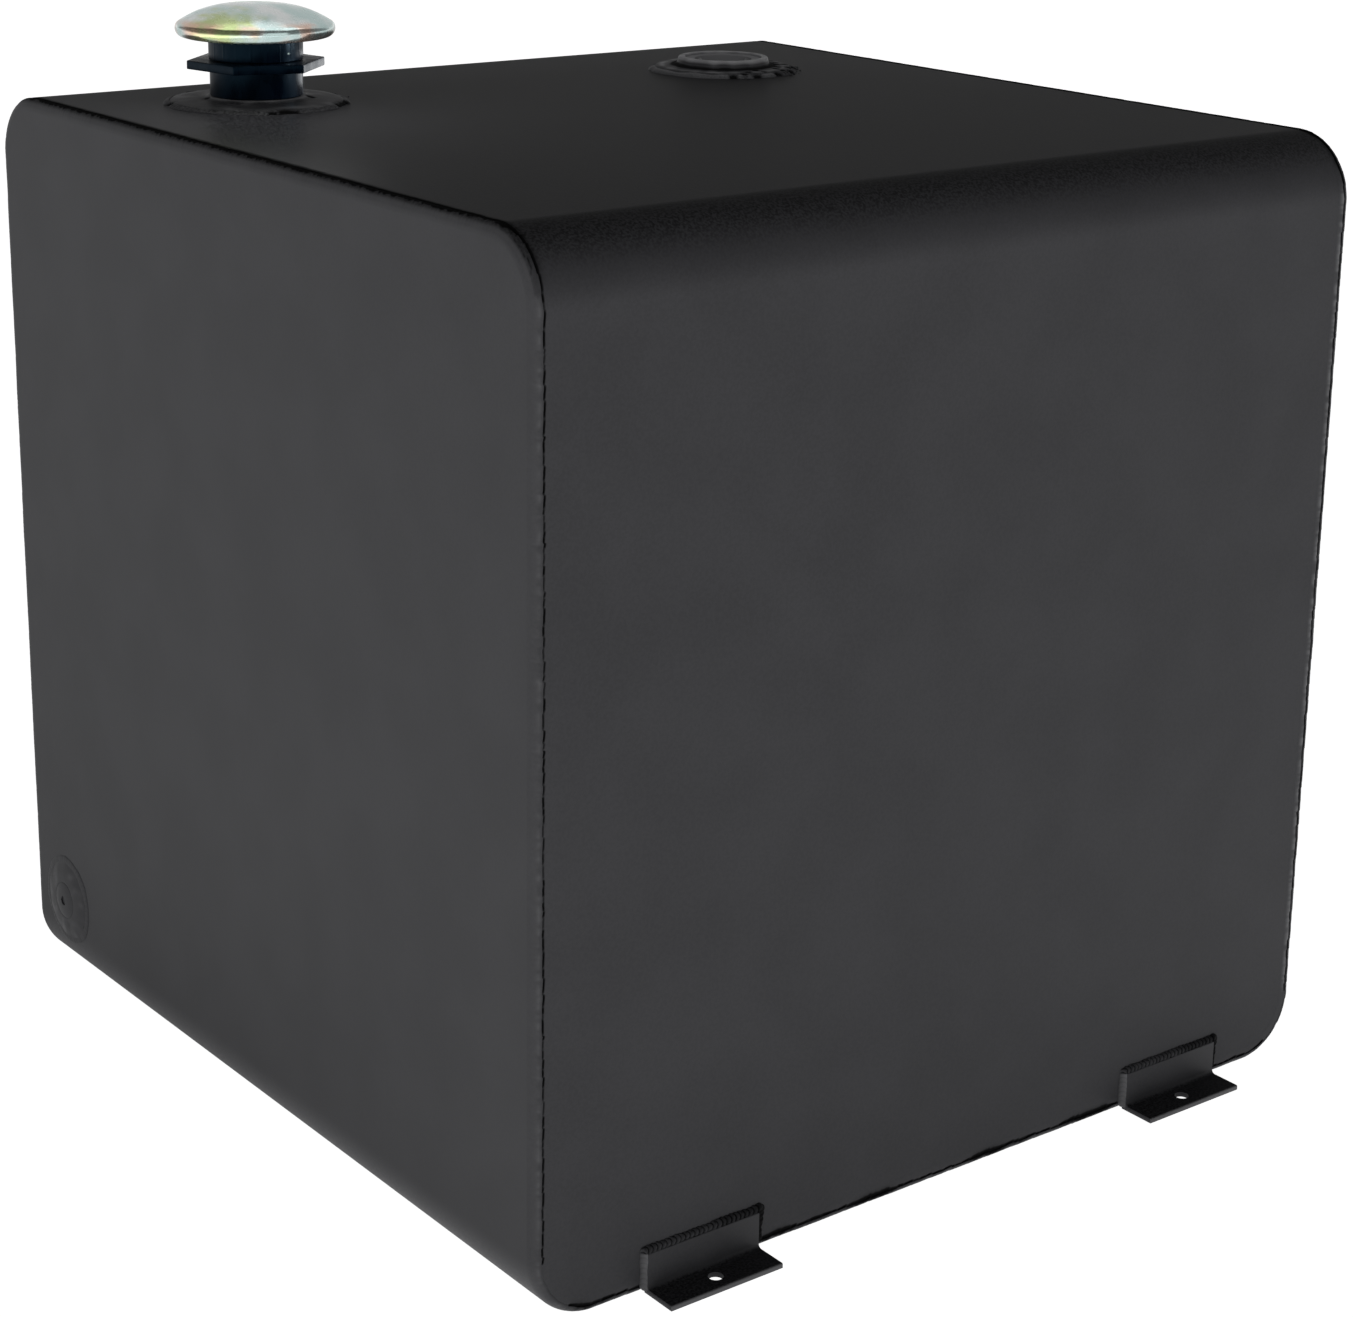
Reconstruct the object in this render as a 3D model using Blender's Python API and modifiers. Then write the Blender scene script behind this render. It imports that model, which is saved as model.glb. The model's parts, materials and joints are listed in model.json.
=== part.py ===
"""Square welded steel fluid reservoir with a vented filler cap, a plugged pump port and a drain.

Two bent sheets make the box. The upper one covers the front, top and back, and the lower one covers
the left side, bottom and right side. Weld beads fill the open corner joints between them. The filler
neck stands on a flange at the back left of the top, the plugged pump port at its back right, and the
drain is low at the back of the left side. Four angle brackets hold the box down.

Metres, +Z up. The origin is the centre of the underside, the front faces -Y and left is -X.
Run with: blender --background --python part.py
"""

import math

import bmesh
import bpy
from mathutils import Vector

# Box
SIDE = 0.610
SHEET = 0.0025
BEND = 0.041
GAP = 0.0003
CUT_PAST = 0.010
BEND_STEPS = 8
RING_STEPS = 32
BEAD = 0.00105

# Baffle
BAFFLE_MARGIN = 0.001
BAFFLE_FLANGE = 0.020
BAFFLE_HOLE = 0.030
BAFFLE_HOLE_STEP = 0.150
BAFFLE_NOTCH = 0.045

# Tie-down brackets, cut from angle
BRACKET_LENGTH = 0.080
BRACKET_LEG = 0.0254
BRACKET_SHEET = 0.0032
BRACKET_ROOT = 0.003
BRACKET_X = 0.190
BOLT_HOLE = 0.00475
BOLT_OFFSET = 0.0140
BRACKET_BEAD = 0.0013

# Filler: radii, and heights above the top of the box
FILLER_PLACE = (-0.190, 0.172, SIDE)
SPUD = 0.0277
SPUD_DEPTH = 0.008
PORT_BORE = 0.0245
FILLER_FLANGE = 0.055
FILLER_FLANGE_EDGE = 0.0026
FILLER_STEP = 0.038
FILLER_STEP_TOP = 0.0032
FILLER_RAISED = 0.033
FILLER_FLANGE_TOP = 0.0052
FILLER_BEAD = 0.002
NECK = 0.0294
NECK_BASE = FILLER_FLANGE_TOP + GAP
COLLAR_LOW = 0.0225
COLLAR_HIGH = 0.0280
COLLAR_CORNER = 0.0443
COLLAR_TURN = math.radians(-18)
NECK_BORE = 0.022
LEDGE_BORE = 0.0202
SPIGOT = 0.0258
SPIGOT_TOP = 0.0370
SHOULDER = 0.0245
ADAPTER_DEPTH = 0.014

# Strainer basket
BASKET = 0.0198
BASKET_WALL = 0.001
BASKET_DEPTH = 0.095
BASKET_RIM = 0.0217
BASKET_SLOT = 0.005
BASKET_SLOT_LENGTH = 0.064

# Filler cap
SKIRT = 0.0300
SKIRT_BORE = 0.0262
SKIRT_LOW = COLLAR_HIGH + GAP
SKIRT_TOP = 0.0405
WEB = 0.0014
WEB_HOLE = 0.0045
PAN_HOLE = 0.009
PAN_EDGE = 0.0446
PAN_EDGE_Z = 0.0453
PAN_SHEET = 0.001
DOME_TOP = 0.063
DOME_DROP = 0.0128
DOME_CURVE = 2.8
RIM = 0.0504
RIM_ROLL = 0.0044
RIM_Z = 0.048
DOME_SHEET = 0.001
FOAM_BORE = 0.012
FOAM_EDGE = 0.042
FOAM_BORE_HEIGHT = 0.014
FOAM_EDGE_HEIGHT = 0.008
PAN_BEND = 0.031
RIM_TUCK = 0.48

# Vacuum vent inside the cap
STEM = 0.002
STEM_FOOT = 0.004
STEM_HEAD = 0.008
STEM_HEAD_Z = 0.053
STEM_FLANGE = 0.0012
VENT_DISC = 0.009
DISC_THICK = 0.0015
SPRING_RADIUS = 0.0062
SPRING_WIRE = 0.0005
SPRING_TURNS = 5
SPRING_STEPS = 12

# Pump port
PUMP_PLACE = (0.168, 0.147, SIDE)
PUMP_FLANGE = 0.048
PUMP_FLANGE_EDGE = 0.003
PUMP_RING = 0.0312
PUMP_RING_TOP = 0.0095
PUMP_RING_FOOT = 0.0334
PUMP_RING_FOOT_Z = 0.0042
PUMP_SEAT = 0.0268
PUMP_SEAT_Z = 0.0045
PUMP_BEAD = 0.0021
PUMP_GASKET = 0.0012
PLUG_SHANK = 0.0242
PLUG_HEAD = 0.0265
PLUG_RECESS = 0.019
PLUG_RECESS_Z = 0.0035
PLUG_RECESS_DRAFT = 0.001
PLUG_HEAD_HEIGHT = 0.0017
LUG_SIZE = (0.005, 0.010)
LUG_REACH = 0.0175
LUG_DROP = 0.0004
LUG_TURN = math.radians(-37)

# Drain, which points to -X
DRAIN_PLACE = (-SIDE / 2, 0.257, 0.061)
DRAIN_FLANGE = 0.027
DRAIN_FLANGE_EDGE = 0.0024
DRAIN_RAISED = 0.020
DRAIN_FLANGE_TOP = 0.004
DRAIN_BEAD = 0.0017
DRAIN_SPUD = 0.0137
DRAIN_SPUD_DEPTH = 0.006
DRAIN_BORE = 0.0097
DRAIN_SEAT = 0.013
DRAIN_SEAT_Z = 0.001
DRAIN_SHANK = 0.0094
DRAIN_HEAD = 0.0125
DRAIN_HEAD_HEIGHT = 0.0024
DRAIN_WASHER = 0.0008
DRAIN_SOCKET = 0.0046
DRAIN_SOCKET_LENGTH = 0.008

# Turns that stand a plate's outline in the YZ plane or in the XZ plane
ALONG_X = (math.pi / 2, 0, math.pi / 2)
ALONG_Y = (math.pi / 2, 0, 0)

# Colours: base colour, roughness, metallic
PAINT = ("black_paint", (0.055, 0.055, 0.058), 0.55, 0.0)
NYLON = ("black_nylon", (0.006, 0.009, 0.016), 0.25, 0.0)
ZINC = ("yellow_zinc", (0.72, 0.71, 0.62), 0.22, 1.0)
STEEL = ("bare_steel", (0.45, 0.45, 0.46), 0.35, 1.0)
BRASS = ("brass", (0.72, 0.55, 0.24), 0.3, 1.0)
RUBBER = ("seal_rubber", (0.02, 0.02, 0.02), 0.8, 0.0)
COPPER = ("copper", (0.75, 0.38, 0.24), 0.35, 1.0)
FOAM = ("filter_foam", (0.35, 0.33, 0.27), 0.95, 0.0)


def clear_scene():
    for obj in list(bpy.data.objects):
        bpy.data.objects.remove(obj, do_unlink=True)


def make_collection(name):
    collection = bpy.data.collections.new(name)
    bpy.context.scene.collection.children.link(collection)
    return collection


def make_material(name, colour, roughness, metallic):
    material = bpy.data.materials.get(name)
    if material is None:
        material = bpy.data.materials.new(name)
        material.use_nodes = True
        shader = material.node_tree.nodes["Principled BSDF"]
        shader.inputs["Base Color"].default_value = (*colour, 1.0)
        shader.inputs["Roughness"].default_value = roughness
        shader.inputs["Metallic"].default_value = metallic
    return material


def place(obj, finish=None, parent=None, location=(0, 0, 0), rotation=(0, 0, 0)):
    """Puts a part in the object's collection, or a shape without a finish among the cutters."""
    for collection in list(obj.users_collection):
        collection.objects.unlink(obj)
    obj.location = location
    obj.rotation_euler = rotation
    if parent is not None:
        obj.parent = parent
    if finish is None:
        CUTTERS.objects.link(obj)
        obj.hide_render = True
        obj.display_type = "WIRE"
    else:
        PARTS.objects.link(obj)
        obj.data.materials.clear()
        obj.data.materials.append(make_material(*finish))
    return obj


def arc(x, y, radius, start, end, steps=BEND_STEPS):
    """Points on an arc about (x, y), from angle start to angle end in degrees."""
    angles = [math.radians(start + (end - start) * k / steps) for k in range(steps + 1)]
    return [(x + radius * math.cos(a), y + radius * math.sin(a)) for a in angles]


def mesh_object(name, vertices, edges):
    mesh = bpy.data.meshes.new(name)
    mesh.from_pydata(vertices, edges, [])
    return bpy.data.objects.new(name, mesh)


def curve_to_mesh(curve_object):
    """Turns a curve object into a mesh object with its caps joined to its sides."""
    bpy.context.scene.collection.objects.link(curve_object)
    bpy.context.view_layer.update()
    evaluated = curve_object.evaluated_get(bpy.context.evaluated_depsgraph_get())
    mesh = bpy.data.meshes.new_from_object(evaluated)
    shape = bmesh.new()
    shape.from_mesh(mesh)
    bmesh.ops.remove_doubles(shape, verts=shape.verts, dist=0.00001)
    bmesh.ops.recalc_face_normals(shape, faces=shape.faces)
    shape.to_mesh(mesh)
    shape.free()
    name = curve_object.name
    bpy.data.objects.remove(curve_object, do_unlink=True)
    mesh.name = name
    return bpy.data.objects.new(name, mesh)


def poly_curve(name, points, dimensions, closed):
    curve = bpy.data.curves.new(name, "CURVE")
    curve.dimensions = dimensions
    spline = curve.splines.new("POLY")
    spline.points.add(len(points) - 1)
    for point, place_of_point in zip(spline.points, points):
        point.co = (*place_of_point, 1.0)
    spline.use_cyclic_u = closed
    return curve


def plate(name, outline, thickness):
    """A flat plate with the outline in its local XY plane and its thickness centred on it."""
    curve = poly_curve(name, [(x, y, 0) for x, y in outline], "2D", True)
    curve.fill_mode = "BOTH"
    curve.extrude = thickness / 2
    return curve_to_mesh(bpy.data.objects.new(name, curve))


def tube(name, points, radius):
    curve = poly_curve(name, points, "3D", False)
    curve.bevel_depth = radius
    curve.bevel_resolution = 2
    curve.use_fill_caps = True
    return curve_to_mesh(bpy.data.objects.new(name, curve))


def turned(name, profile, closed=True, steps=RING_STEPS):
    """A turned shape from (radius, height) points that run down the outer side first."""
    count = len(profile)
    edges = [(k, k + 1) for k in range(count - 1)]
    if closed:
        edges.append((count - 1, 0))
    obj = mesh_object(name, [(r, 0, z) for r, z in profile], edges)
    screw = obj.modifiers.new("Screw", "SCREW")
    screw.steps = steps
    screw.render_steps = steps
    screw.use_merge_vertices = True
    screw.merge_threshold = 0.00001
    return obj


def ring(name, outer, inner, low, high):
    return turned(name, [(outer, high), (outer, low), (inner, low), (inner, high)])


def torus(name, major, minor):
    bpy.ops.mesh.primitive_torus_add(
        major_radius=major, minor_radius=minor, major_segments=RING_STEPS, minor_segments=8
    )
    obj = bpy.context.object
    obj.name = name
    return obj


def cylinder(name, radius, length, sides=RING_STEPS):
    bpy.ops.mesh.primitive_cylinder_add(radius=radius, depth=length, vertices=sides)
    obj = bpy.context.object
    obj.name = name
    return obj


def block(name, size_x, size_y, size_z):
    bpy.ops.mesh.primitive_cube_add(size=1)
    obj = bpy.context.object
    obj.name = name
    obj.data.transform(obj.matrix_world.Diagonal((size_x, size_y, size_z, 1)))
    return obj


def combine(obj, other, operation):
    boolean = obj.modifiers.new(other.name, "BOOLEAN")
    boolean.operation = operation
    boolean.solver = "EXACT"
    boolean.object = other
    return obj


def axis_empty(name, location, rotation=(0, 0, 0)):
    empty = bpy.data.objects.new(name, None)
    PARTS.objects.link(empty)
    empty.location = location
    empty.rotation_euler = rotation
    return empty


def bent_sheet(name, profile, along):
    """An open strip swept along a vector, with Solidify for the sheet's thickness inwards."""
    start = Vector(along) * -0.5
    obj = mesh_object(name, [start + Vector(p) for p in profile], [])
    shape = bmesh.new()
    shape.from_mesh(obj.data)
    shape.verts.ensure_lookup_table()
    edges = [shape.edges.new(pair) for pair in zip(shape.verts[:-1], shape.verts[1:])]
    swept = bmesh.ops.extrude_edge_only(shape, edges=edges)["geom"]
    moved = [v for v in swept if isinstance(v, bmesh.types.BMVert)]
    bmesh.ops.translate(shape, verts=moved, vec=Vector(along))
    shape.to_mesh(obj.data)
    shape.free()
    solid = obj.modifiers.new("Solidify", "SOLIDIFY")
    solid.thickness = SHEET
    solid.offset = -1
    solid.use_even_offset = True
    return obj


def crown(half_width, top, corner):
    """A line with two rounded upper corners, from right to left."""
    x = half_width - corner
    z = top - corner
    return arc(x, z, corner, 0, 90) + arc(-x, z, corner, 90, 180)


def arch(half_width, top, corner, low):
    """A crown with square feet at height low."""
    return [(half_width, low)] + crown(half_width, top, corner) + [(-half_width, low)]


def lower_shell():
    half = SIDE / 2
    profile = [(-x, 0, SIDE - z) for x, z in arch(half, SIDE, BEND, 0)]
    sheet = bent_sheet("lower_shell", profile, (0, SIDE, 0))
    trim = plate("lower_trim", arch(half - SHEET, SIDE - SHEET, BEND - SHEET, -CUT_PAST), SIDE * 1.1)
    place(trim, rotation=ALONG_X)
    combine(sheet, trim, "INTERSECT")
    drain_hole = cylinder("drain_hole", DRAIN_SPUD + GAP, 2 * CUT_PAST)
    place(drain_hole, location=DRAIN_PLACE, rotation=(0, math.pi / 2, 0))
    combine(sheet, drain_hole, "DIFFERENCE")
    return place(sheet, PAINT)


def upper_shell():
    half = SIDE / 2
    inset = SHEET + GAP
    profile = [(0, -y, z) for y, z in arch(half, SIDE, BEND, 0)]
    sheet = bent_sheet("upper_shell", profile, (SIDE, 0, 0))
    outline = arch(half - inset, SIDE - inset, BEND - inset, -CUT_PAST)
    trim = plate("upper_trim", [(x, SIDE - z) for x, z in outline], SIDE * 1.1)
    place(trim, rotation=ALONG_Y)
    combine(sheet, trim, "INTERSECT")
    for name, centre in (("filler_hole", FILLER_PLACE), ("pump_hole", PUMP_PLACE)):
        hole = cylinder(name, SPUD + GAP, 2 * CUT_PAST)
        place(hole, location=centre)
        combine(sheet, hole, "DIFFERENCE")
    return place(sheet, PAINT)


def seam_welds():
    """Beads in the open corner joints, two over the top and two under the bottom."""
    inset = SHEET / 2
    half = SIDE / 2 - inset
    over = arch(half, SIDE - inset, BEND - inset, BEND + 2 * GAP)
    for name, x in (("seam_weld_left", -half), ("seam_weld_right", half)):
        place(tube(name, [(x, y, z) for y, z in over], BEAD), PAINT)
    under = crown(half, SIDE - inset, BEND - inset)
    for name, y in (("seam_weld_front", -half), ("seam_weld_rear", half)):
        place(tube(name, [(x, y, SIDE - z) for x, z in under], BEAD), PAINT)


def baffle():
    """A cross wall between the chambers, with two folded edges, flow holes and gaps at its foot."""
    half = SIDE / 2 - SHEET - BAFFLE_MARGIN
    low = SHEET + BAFFLE_MARGIN
    outline = arch(half, SIDE - SHEET - BAFFLE_MARGIN, BEND - SHEET, low)
    wall = plate("baffle_plate", outline, SHEET)
    for level in (-1, 0, 1):
        hole = cylinder(f"baffle_hole_{level}", BAFFLE_HOLE, 2 * CUT_PAST)
        hole_z = SIDE / 2 + level * BAFFLE_HOLE_STEP
        place(hole, location=(0, 0, hole_z), rotation=(0, math.pi / 2, 0))
        combine(wall, hole, "DIFFERENCE")
    fold_height = SIDE - 2 * (BEND + BAFFLE_NOTCH)
    for side in (-1, 1):
        fold = block(f"baffle_fold_{side}", BAFFLE_FLANGE, SHEET, fold_height)
        place(fold, location=(BAFFLE_FLANGE / 2, side * (half - SHEET), SIDE / 2))
        combine(wall, fold, "UNION")
        notch = block(f"baffle_notch_{side}", CUT_PAST, 2 * BAFFLE_NOTCH, 2 * BAFFLE_NOTCH)
        place(notch, location=(0, side * half, low))
        combine(wall, notch, "DIFFERENCE")
    return place(wall, PAINT, rotation=ALONG_X)


def angle_outline():
    """The section of the angle: x runs out from the wall, y runs up."""
    root = BRACKET_SHEET + BRACKET_ROOT
    return (
        [(0, 0), (BRACKET_LEG, 0), (BRACKET_LEG, BRACKET_SHEET)]
        + arc(root, root, BRACKET_ROOT, 270, 180, 3)
        + [(BRACKET_SHEET, BRACKET_LEG), (0, BRACKET_LEG)]
    )


def bracket(place_name, x, turn):
    """One tie-down bracket and the bead round its upright leg. The foot points away from the wall."""
    corner = axis_empty(f"bracket_frame_{place_name}", (0, 0, 0), (0, 0, turn))
    wall = -(SIDE / 2 + GAP)
    angle = plate(f"tie_down_bracket_{place_name}", angle_outline(), BRACKET_LENGTH)
    hole = cylinder(f"bolt_hole_{place_name}", BOLT_HOLE, 2 * CUT_PAST, 24)
    place(hole, parent=corner, location=(x, wall - BOLT_OFFSET, 0))
    combine(angle, hole, "DIFFERENCE")
    place(angle, PAINT, corner, (x, wall, 0), (math.pi / 2, 0, -math.pi / 2))
    reach = BRACKET_LENGTH / 2 + GAP + BRACKET_BEAD
    top = BRACKET_LEG + GAP + BRACKET_BEAD
    foot = 2 * BRACKET_BEAD
    path = [(-reach, 0, foot), (-reach, 0, top), (reach, 0, top), (reach, 0, foot)]
    bead = tube(f"bracket_weld_{place_name}", path, BRACKET_BEAD)
    place(bead, PAINT, corner, (x, wall - BRACKET_BEAD, 0))


def brackets():
    for end, turn in (("front", 0), ("rear", math.pi)):
        for hand, side in (("left", -1), ("right", 1)):
            x = side * BRACKET_X * math.cos(turn)
            bracket(f"{end}_{hand}", x, turn)


def flange_weld(name, radius, bead, parent):
    return place(torus(name, radius + GAP + bead, bead), PAINT, parent, (0, 0, GAP + bead))


def filler_neck(centre):
    """The welded flange, the black adapter screwed into it, and the strainer that hangs inside."""
    flange = [
        (FILLER_RAISED, FILLER_FLANGE_TOP),
        (FILLER_STEP, FILLER_STEP_TOP),
        (FILLER_FLANGE, FILLER_FLANGE_EDGE),
        (FILLER_FLANGE, GAP),
        (SPUD, GAP),
        (SPUD, -SPUD_DEPTH),
        (PORT_BORE, -SPUD_DEPTH),
        (PORT_BORE, FILLER_FLANGE_TOP),
    ]
    place(turned("filler_flange", flange), PAINT, centre)
    flange_weld("filler_flange_weld", FILLER_FLANGE, FILLER_BEAD, centre)

    outside = [
        (0, SPIGOT_TOP),
        (SPIGOT, SPIGOT_TOP),
        (SPIGOT, SHOULDER),
        (NECK, SHOULDER),
        (NECK, NECK_BASE),
        (PORT_BORE - GAP, NECK_BASE),
        (PORT_BORE - GAP, -ADAPTER_DEPTH),
        (0, -ADAPTER_DEPTH),
    ]
    past_top = SPIGOT_TOP + CUT_PAST
    past_foot = -ADAPTER_DEPTH - CUT_PAST
    bore = [
        (0, past_top),
        (NECK_BORE, past_top),
        (NECK_BORE, 0),
        (LEDGE_BORE, 0),
        (LEDGE_BORE, past_foot),
        (0, past_foot),
    ]
    adapter = turned("filler_adapter", outside, closed=False)
    collar = cylinder("adapter_collar", COLLAR_CORNER, COLLAR_HIGH - COLLAR_LOW, 6)
    collar_z = (COLLAR_HIGH + COLLAR_LOW) / 2
    # A cylinder primitive's first corner lies on +Y
    collar_turn = (0, 0, COLLAR_TURN + math.pi / 6)
    place(collar, parent=centre, location=(0, 0, collar_z), rotation=collar_turn)
    combine(adapter, collar, "UNION")
    adapter_bore = place(turned("adapter_bore", bore, closed=False), parent=centre)
    combine(adapter, adapter_bore, "DIFFERENCE")
    place(adapter, NYLON, centre)

    inside = BASKET - BASKET_WALL
    basket = [
        (BASKET_RIM, GAP + BASKET_WALL),
        (BASKET_RIM, GAP),
        (BASKET, GAP),
        (BASKET, -BASKET_DEPTH),
        (0, -BASKET_DEPTH),
        (0, BASKET_WALL - BASKET_DEPTH),
        (inside, BASKET_WALL - BASKET_DEPTH),
        (inside, GAP + BASKET_WALL),
    ]
    strainer = turned("strainer_basket", basket)
    for k in range(3):
        slot = block(f"strainer_slot_{k}", 3 * BASKET, BASKET_SLOT, BASKET_SLOT_LENGTH)
        slot_z = -(BASKET_DEPTH + ADAPTER_DEPTH) / 2
        place(slot, parent=centre, location=(0, 0, slot_z), rotation=(0, 0, k * math.pi / 3))
        combine(strainer, slot, "DIFFERENCE")
    place(strainer, STEEL, centre)


def dome_profile():
    """The cap's outer line: a shallow crown that turns into a rolled rim."""
    edge = RIM - RIM_ROLL * RIM_TUCK
    rise = []
    for k in range(9):
        r = edge * k / 8
        rise.append((r, DOME_TOP - DOME_DROP * (r / RIM) ** DOME_CURVE))
    return rise + arc(RIM - RIM_ROLL, RIM_Z, RIM_ROLL, 48, -110, 9)


def filler_cap(centre):
    """The threaded black skirt, the cone under the dome, the dome and the foam between them."""
    skirt = [
        (SKIRT, SKIRT_TOP),
        (SKIRT, SKIRT_LOW),
        (SKIRT_BORE, SKIRT_LOW),
        (SKIRT_BORE, SKIRT_TOP - WEB),
        (WEB_HOLE, SKIRT_TOP - WEB),
        (WEB_HOLE, SKIRT_TOP),
    ]
    place(turned("filler_cap_skirt", skirt), NYLON, centre)
    pan_low = SKIRT_TOP + GAP
    pan = [
        (PAN_HOLE, pan_low + PAN_SHEET),
        (PAN_BEND, pan_low + PAN_SHEET),
        (PAN_EDGE, PAN_EDGE_Z + PAN_SHEET),
        (PAN_EDGE, PAN_EDGE_Z),
        (PAN_BEND, pan_low),
        (PAN_HOLE, pan_low),
    ]
    place(turned("filler_cap_pan", pan), ZINC, centre)
    dome = turned("filler_cap_dome", dome_profile(), closed=False)
    solid = dome.modifiers.new("Solidify", "SOLIDIFY")
    solid.thickness = DOME_SHEET
    solid.offset = -1
    place(dome, ZINC, centre)
    foam_low = pan_low + PAN_SHEET + GAP
    foam = [
        (FOAM_BORE, foam_low + FOAM_BORE_HEIGHT),
        (FOAM_EDGE, foam_low + FOAM_EDGE_HEIGHT),
        (FOAM_EDGE, PAN_EDGE_Z + PAN_SHEET),
        (PAN_BEND, foam_low),
        (FOAM_BORE, foam_low),
    ]
    place(turned("breather_foam", foam), FOAM, centre)
    gasket_high = SKIRT_TOP - WEB - GAP
    gasket = ring("filler_cap_gasket", SPIGOT, NECK_BORE + GAP, SPIGOT_TOP + GAP, gasket_high)
    place(gasket, RUBBER, centre)


def vent(centre):
    """A spring holds the disc up against the cap's web. Suction in the box pulls it down."""
    disc_high = SKIRT_TOP - WEB - GAP
    disc_low = disc_high - DISC_THICK
    foot_high = disc_low - GAP
    place(ring("vent_disc", VENT_DISC, STEM + GAP, disc_low, disc_high), RUBBER, centre)
    stem = [
        (0, STEM_HEAD_Z + STEM_FLANGE),
        (STEM_HEAD, STEM_HEAD_Z + STEM_FLANGE),
        (STEM_HEAD, STEM_HEAD_Z),
        (STEM, STEM_HEAD_Z),
        (STEM, foot_high),
        (STEM_FOOT, foot_high),
        (STEM_FOOT, foot_high - STEM_FLANGE),
        (0, foot_high - STEM_FLANGE),
    ]
    place(turned("vent_stem", stem, closed=False, steps=16), BRASS, centre)
    low = SKIRT_TOP + GAP + SPRING_WIRE
    high = STEM_HEAD_Z - GAP - SPRING_WIRE
    count = SPRING_STEPS * SPRING_TURNS
    coil = []
    for k in range(count + 1):
        turn = 2 * math.pi * k / SPRING_STEPS
        x = SPRING_RADIUS * math.cos(turn)
        y = SPRING_RADIUS * math.sin(turn)
        coil.append((x, y, low + (high - low) * k / count))
    place(tube("vent_spring", coil, SPRING_WIRE), STEEL, centre)


def pump_port(centre):
    """A welded flange with a raised ring, and the recessed plug that closes it."""
    flange = [
        (PUMP_RING, PUMP_RING_TOP),
        (PUMP_RING_FOOT, PUMP_RING_FOOT_Z),
        (PUMP_FLANGE, PUMP_FLANGE_EDGE),
        (PUMP_FLANGE, GAP),
        (SPUD, GAP),
        (SPUD, -SPUD_DEPTH),
        (PORT_BORE, -SPUD_DEPTH),
        (PORT_BORE, PUMP_SEAT_Z),
        (PUMP_SEAT, PUMP_SEAT_Z),
        (PUMP_SEAT, PUMP_RING_TOP),
    ]
    place(turned("pump_flange", flange), PAINT, centre)
    flange_weld("pump_flange_weld", PUMP_FLANGE, PUMP_BEAD, centre)
    seal_low = PUMP_SEAT_Z + GAP
    seal_high = seal_low + PUMP_GASKET
    place(ring("pump_plug_gasket", PLUG_HEAD, PORT_BORE, seal_low, seal_high), RUBBER, centre)
    head_low = seal_high + GAP
    head_high = head_low + PLUG_HEAD_HEIGHT
    plug = [
        (0, PLUG_RECESS_Z),
        (PLUG_RECESS, PLUG_RECESS_Z),
        (PLUG_RECESS + PLUG_RECESS_DRAFT, head_high),
        (PLUG_HEAD, head_high),
        (PLUG_HEAD, head_low),
        (PLUG_SHANK, head_low),
        (PLUG_SHANK, -SPUD_DEPTH),
        (0, -SPUD_DEPTH),
    ]
    body = turned("pump_plug", plug, closed=False)
    for side in (-1, 1):
        lug = block(f"plug_lug_{side}", *LUG_SIZE, head_high - PLUG_RECESS_Z)
        x = side * LUG_REACH * math.cos(LUG_TURN)
        y = side * LUG_REACH * math.sin(LUG_TURN)
        z = (head_high + PLUG_RECESS_Z) / 2 - LUG_DROP
        place(lug, parent=centre, location=(x, y, z), rotation=(0, 0, LUG_TURN))
        combine(body, lug, "UNION")
    place(body, PAINT, centre)


def drain_port(centre):
    """A welded flange with a socket-head plug and its washer, in a frame whose +Z points to -X."""
    flange = [
        (DRAIN_RAISED, DRAIN_FLANGE_TOP),
        (DRAIN_FLANGE, DRAIN_FLANGE_EDGE),
        (DRAIN_FLANGE, GAP),
        (DRAIN_SPUD, GAP),
        (DRAIN_SPUD, -DRAIN_SPUD_DEPTH),
        (DRAIN_BORE, -DRAIN_SPUD_DEPTH),
        (DRAIN_BORE, DRAIN_SEAT_Z),
        (DRAIN_SEAT, DRAIN_SEAT_Z),
        (DRAIN_SEAT, DRAIN_FLANGE_TOP),
    ]
    place(turned("drain_flange", flange), PAINT, centre)
    flange_weld("drain_flange_weld", DRAIN_FLANGE, DRAIN_BEAD, centre)
    washer_low = DRAIN_SEAT_Z + GAP
    washer_high = washer_low + DRAIN_WASHER
    washer = ring("drain_plug_washer", DRAIN_HEAD, DRAIN_BORE, washer_low, washer_high)
    place(washer, COPPER, centre)
    head_low = washer_high + GAP
    head_high = head_low + DRAIN_HEAD_HEIGHT
    plug = [
        (0, head_high),
        (DRAIN_HEAD, head_high),
        (DRAIN_HEAD, head_low),
        (DRAIN_SHANK, head_low),
        (DRAIN_SHANK, -DRAIN_SPUD_DEPTH),
        (0, -DRAIN_SPUD_DEPTH),
    ]
    body = turned("drain_plug", plug, closed=False)
    socket = cylinder("drain_socket", DRAIN_SOCKET, DRAIN_SOCKET_LENGTH, 6)
    place(socket, parent=centre, location=(0, 0, head_high))
    combine(body, socket, "DIFFERENCE")
    place(body, PAINT, centre)


clear_scene()
PARTS = make_collection("hydraulic_reservoir")
CUTTERS = make_collection("cutters")

lower_shell()
upper_shell()
seam_welds()
baffle()
brackets()
filler_axis = axis_empty("filler_axis", FILLER_PLACE)
filler_neck(filler_axis)
filler_cap(filler_axis)
vent(filler_axis)
pump_port(axis_empty("pump_axis", PUMP_PLACE))
drain_port(axis_empty("drain_axis", DRAIN_PLACE, (0, -math.pi / 2, 0)))
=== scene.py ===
"""Looks for the square welded fluid reservoir: fine sheets, welds, ports, cap and finishes.

Two bent sheets lock into each other. The lower sheet makes the left side, bottom and right side, and
the upper sheet makes the front, top and back. A ground weld bead rounds each corner on the lower
sheet's side, and ends in an open crevice on the upper sheet's side.
"""

import json
import math
import random

import bmesh
import bpy
from mathutils import Matrix, Vector, noise


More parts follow.
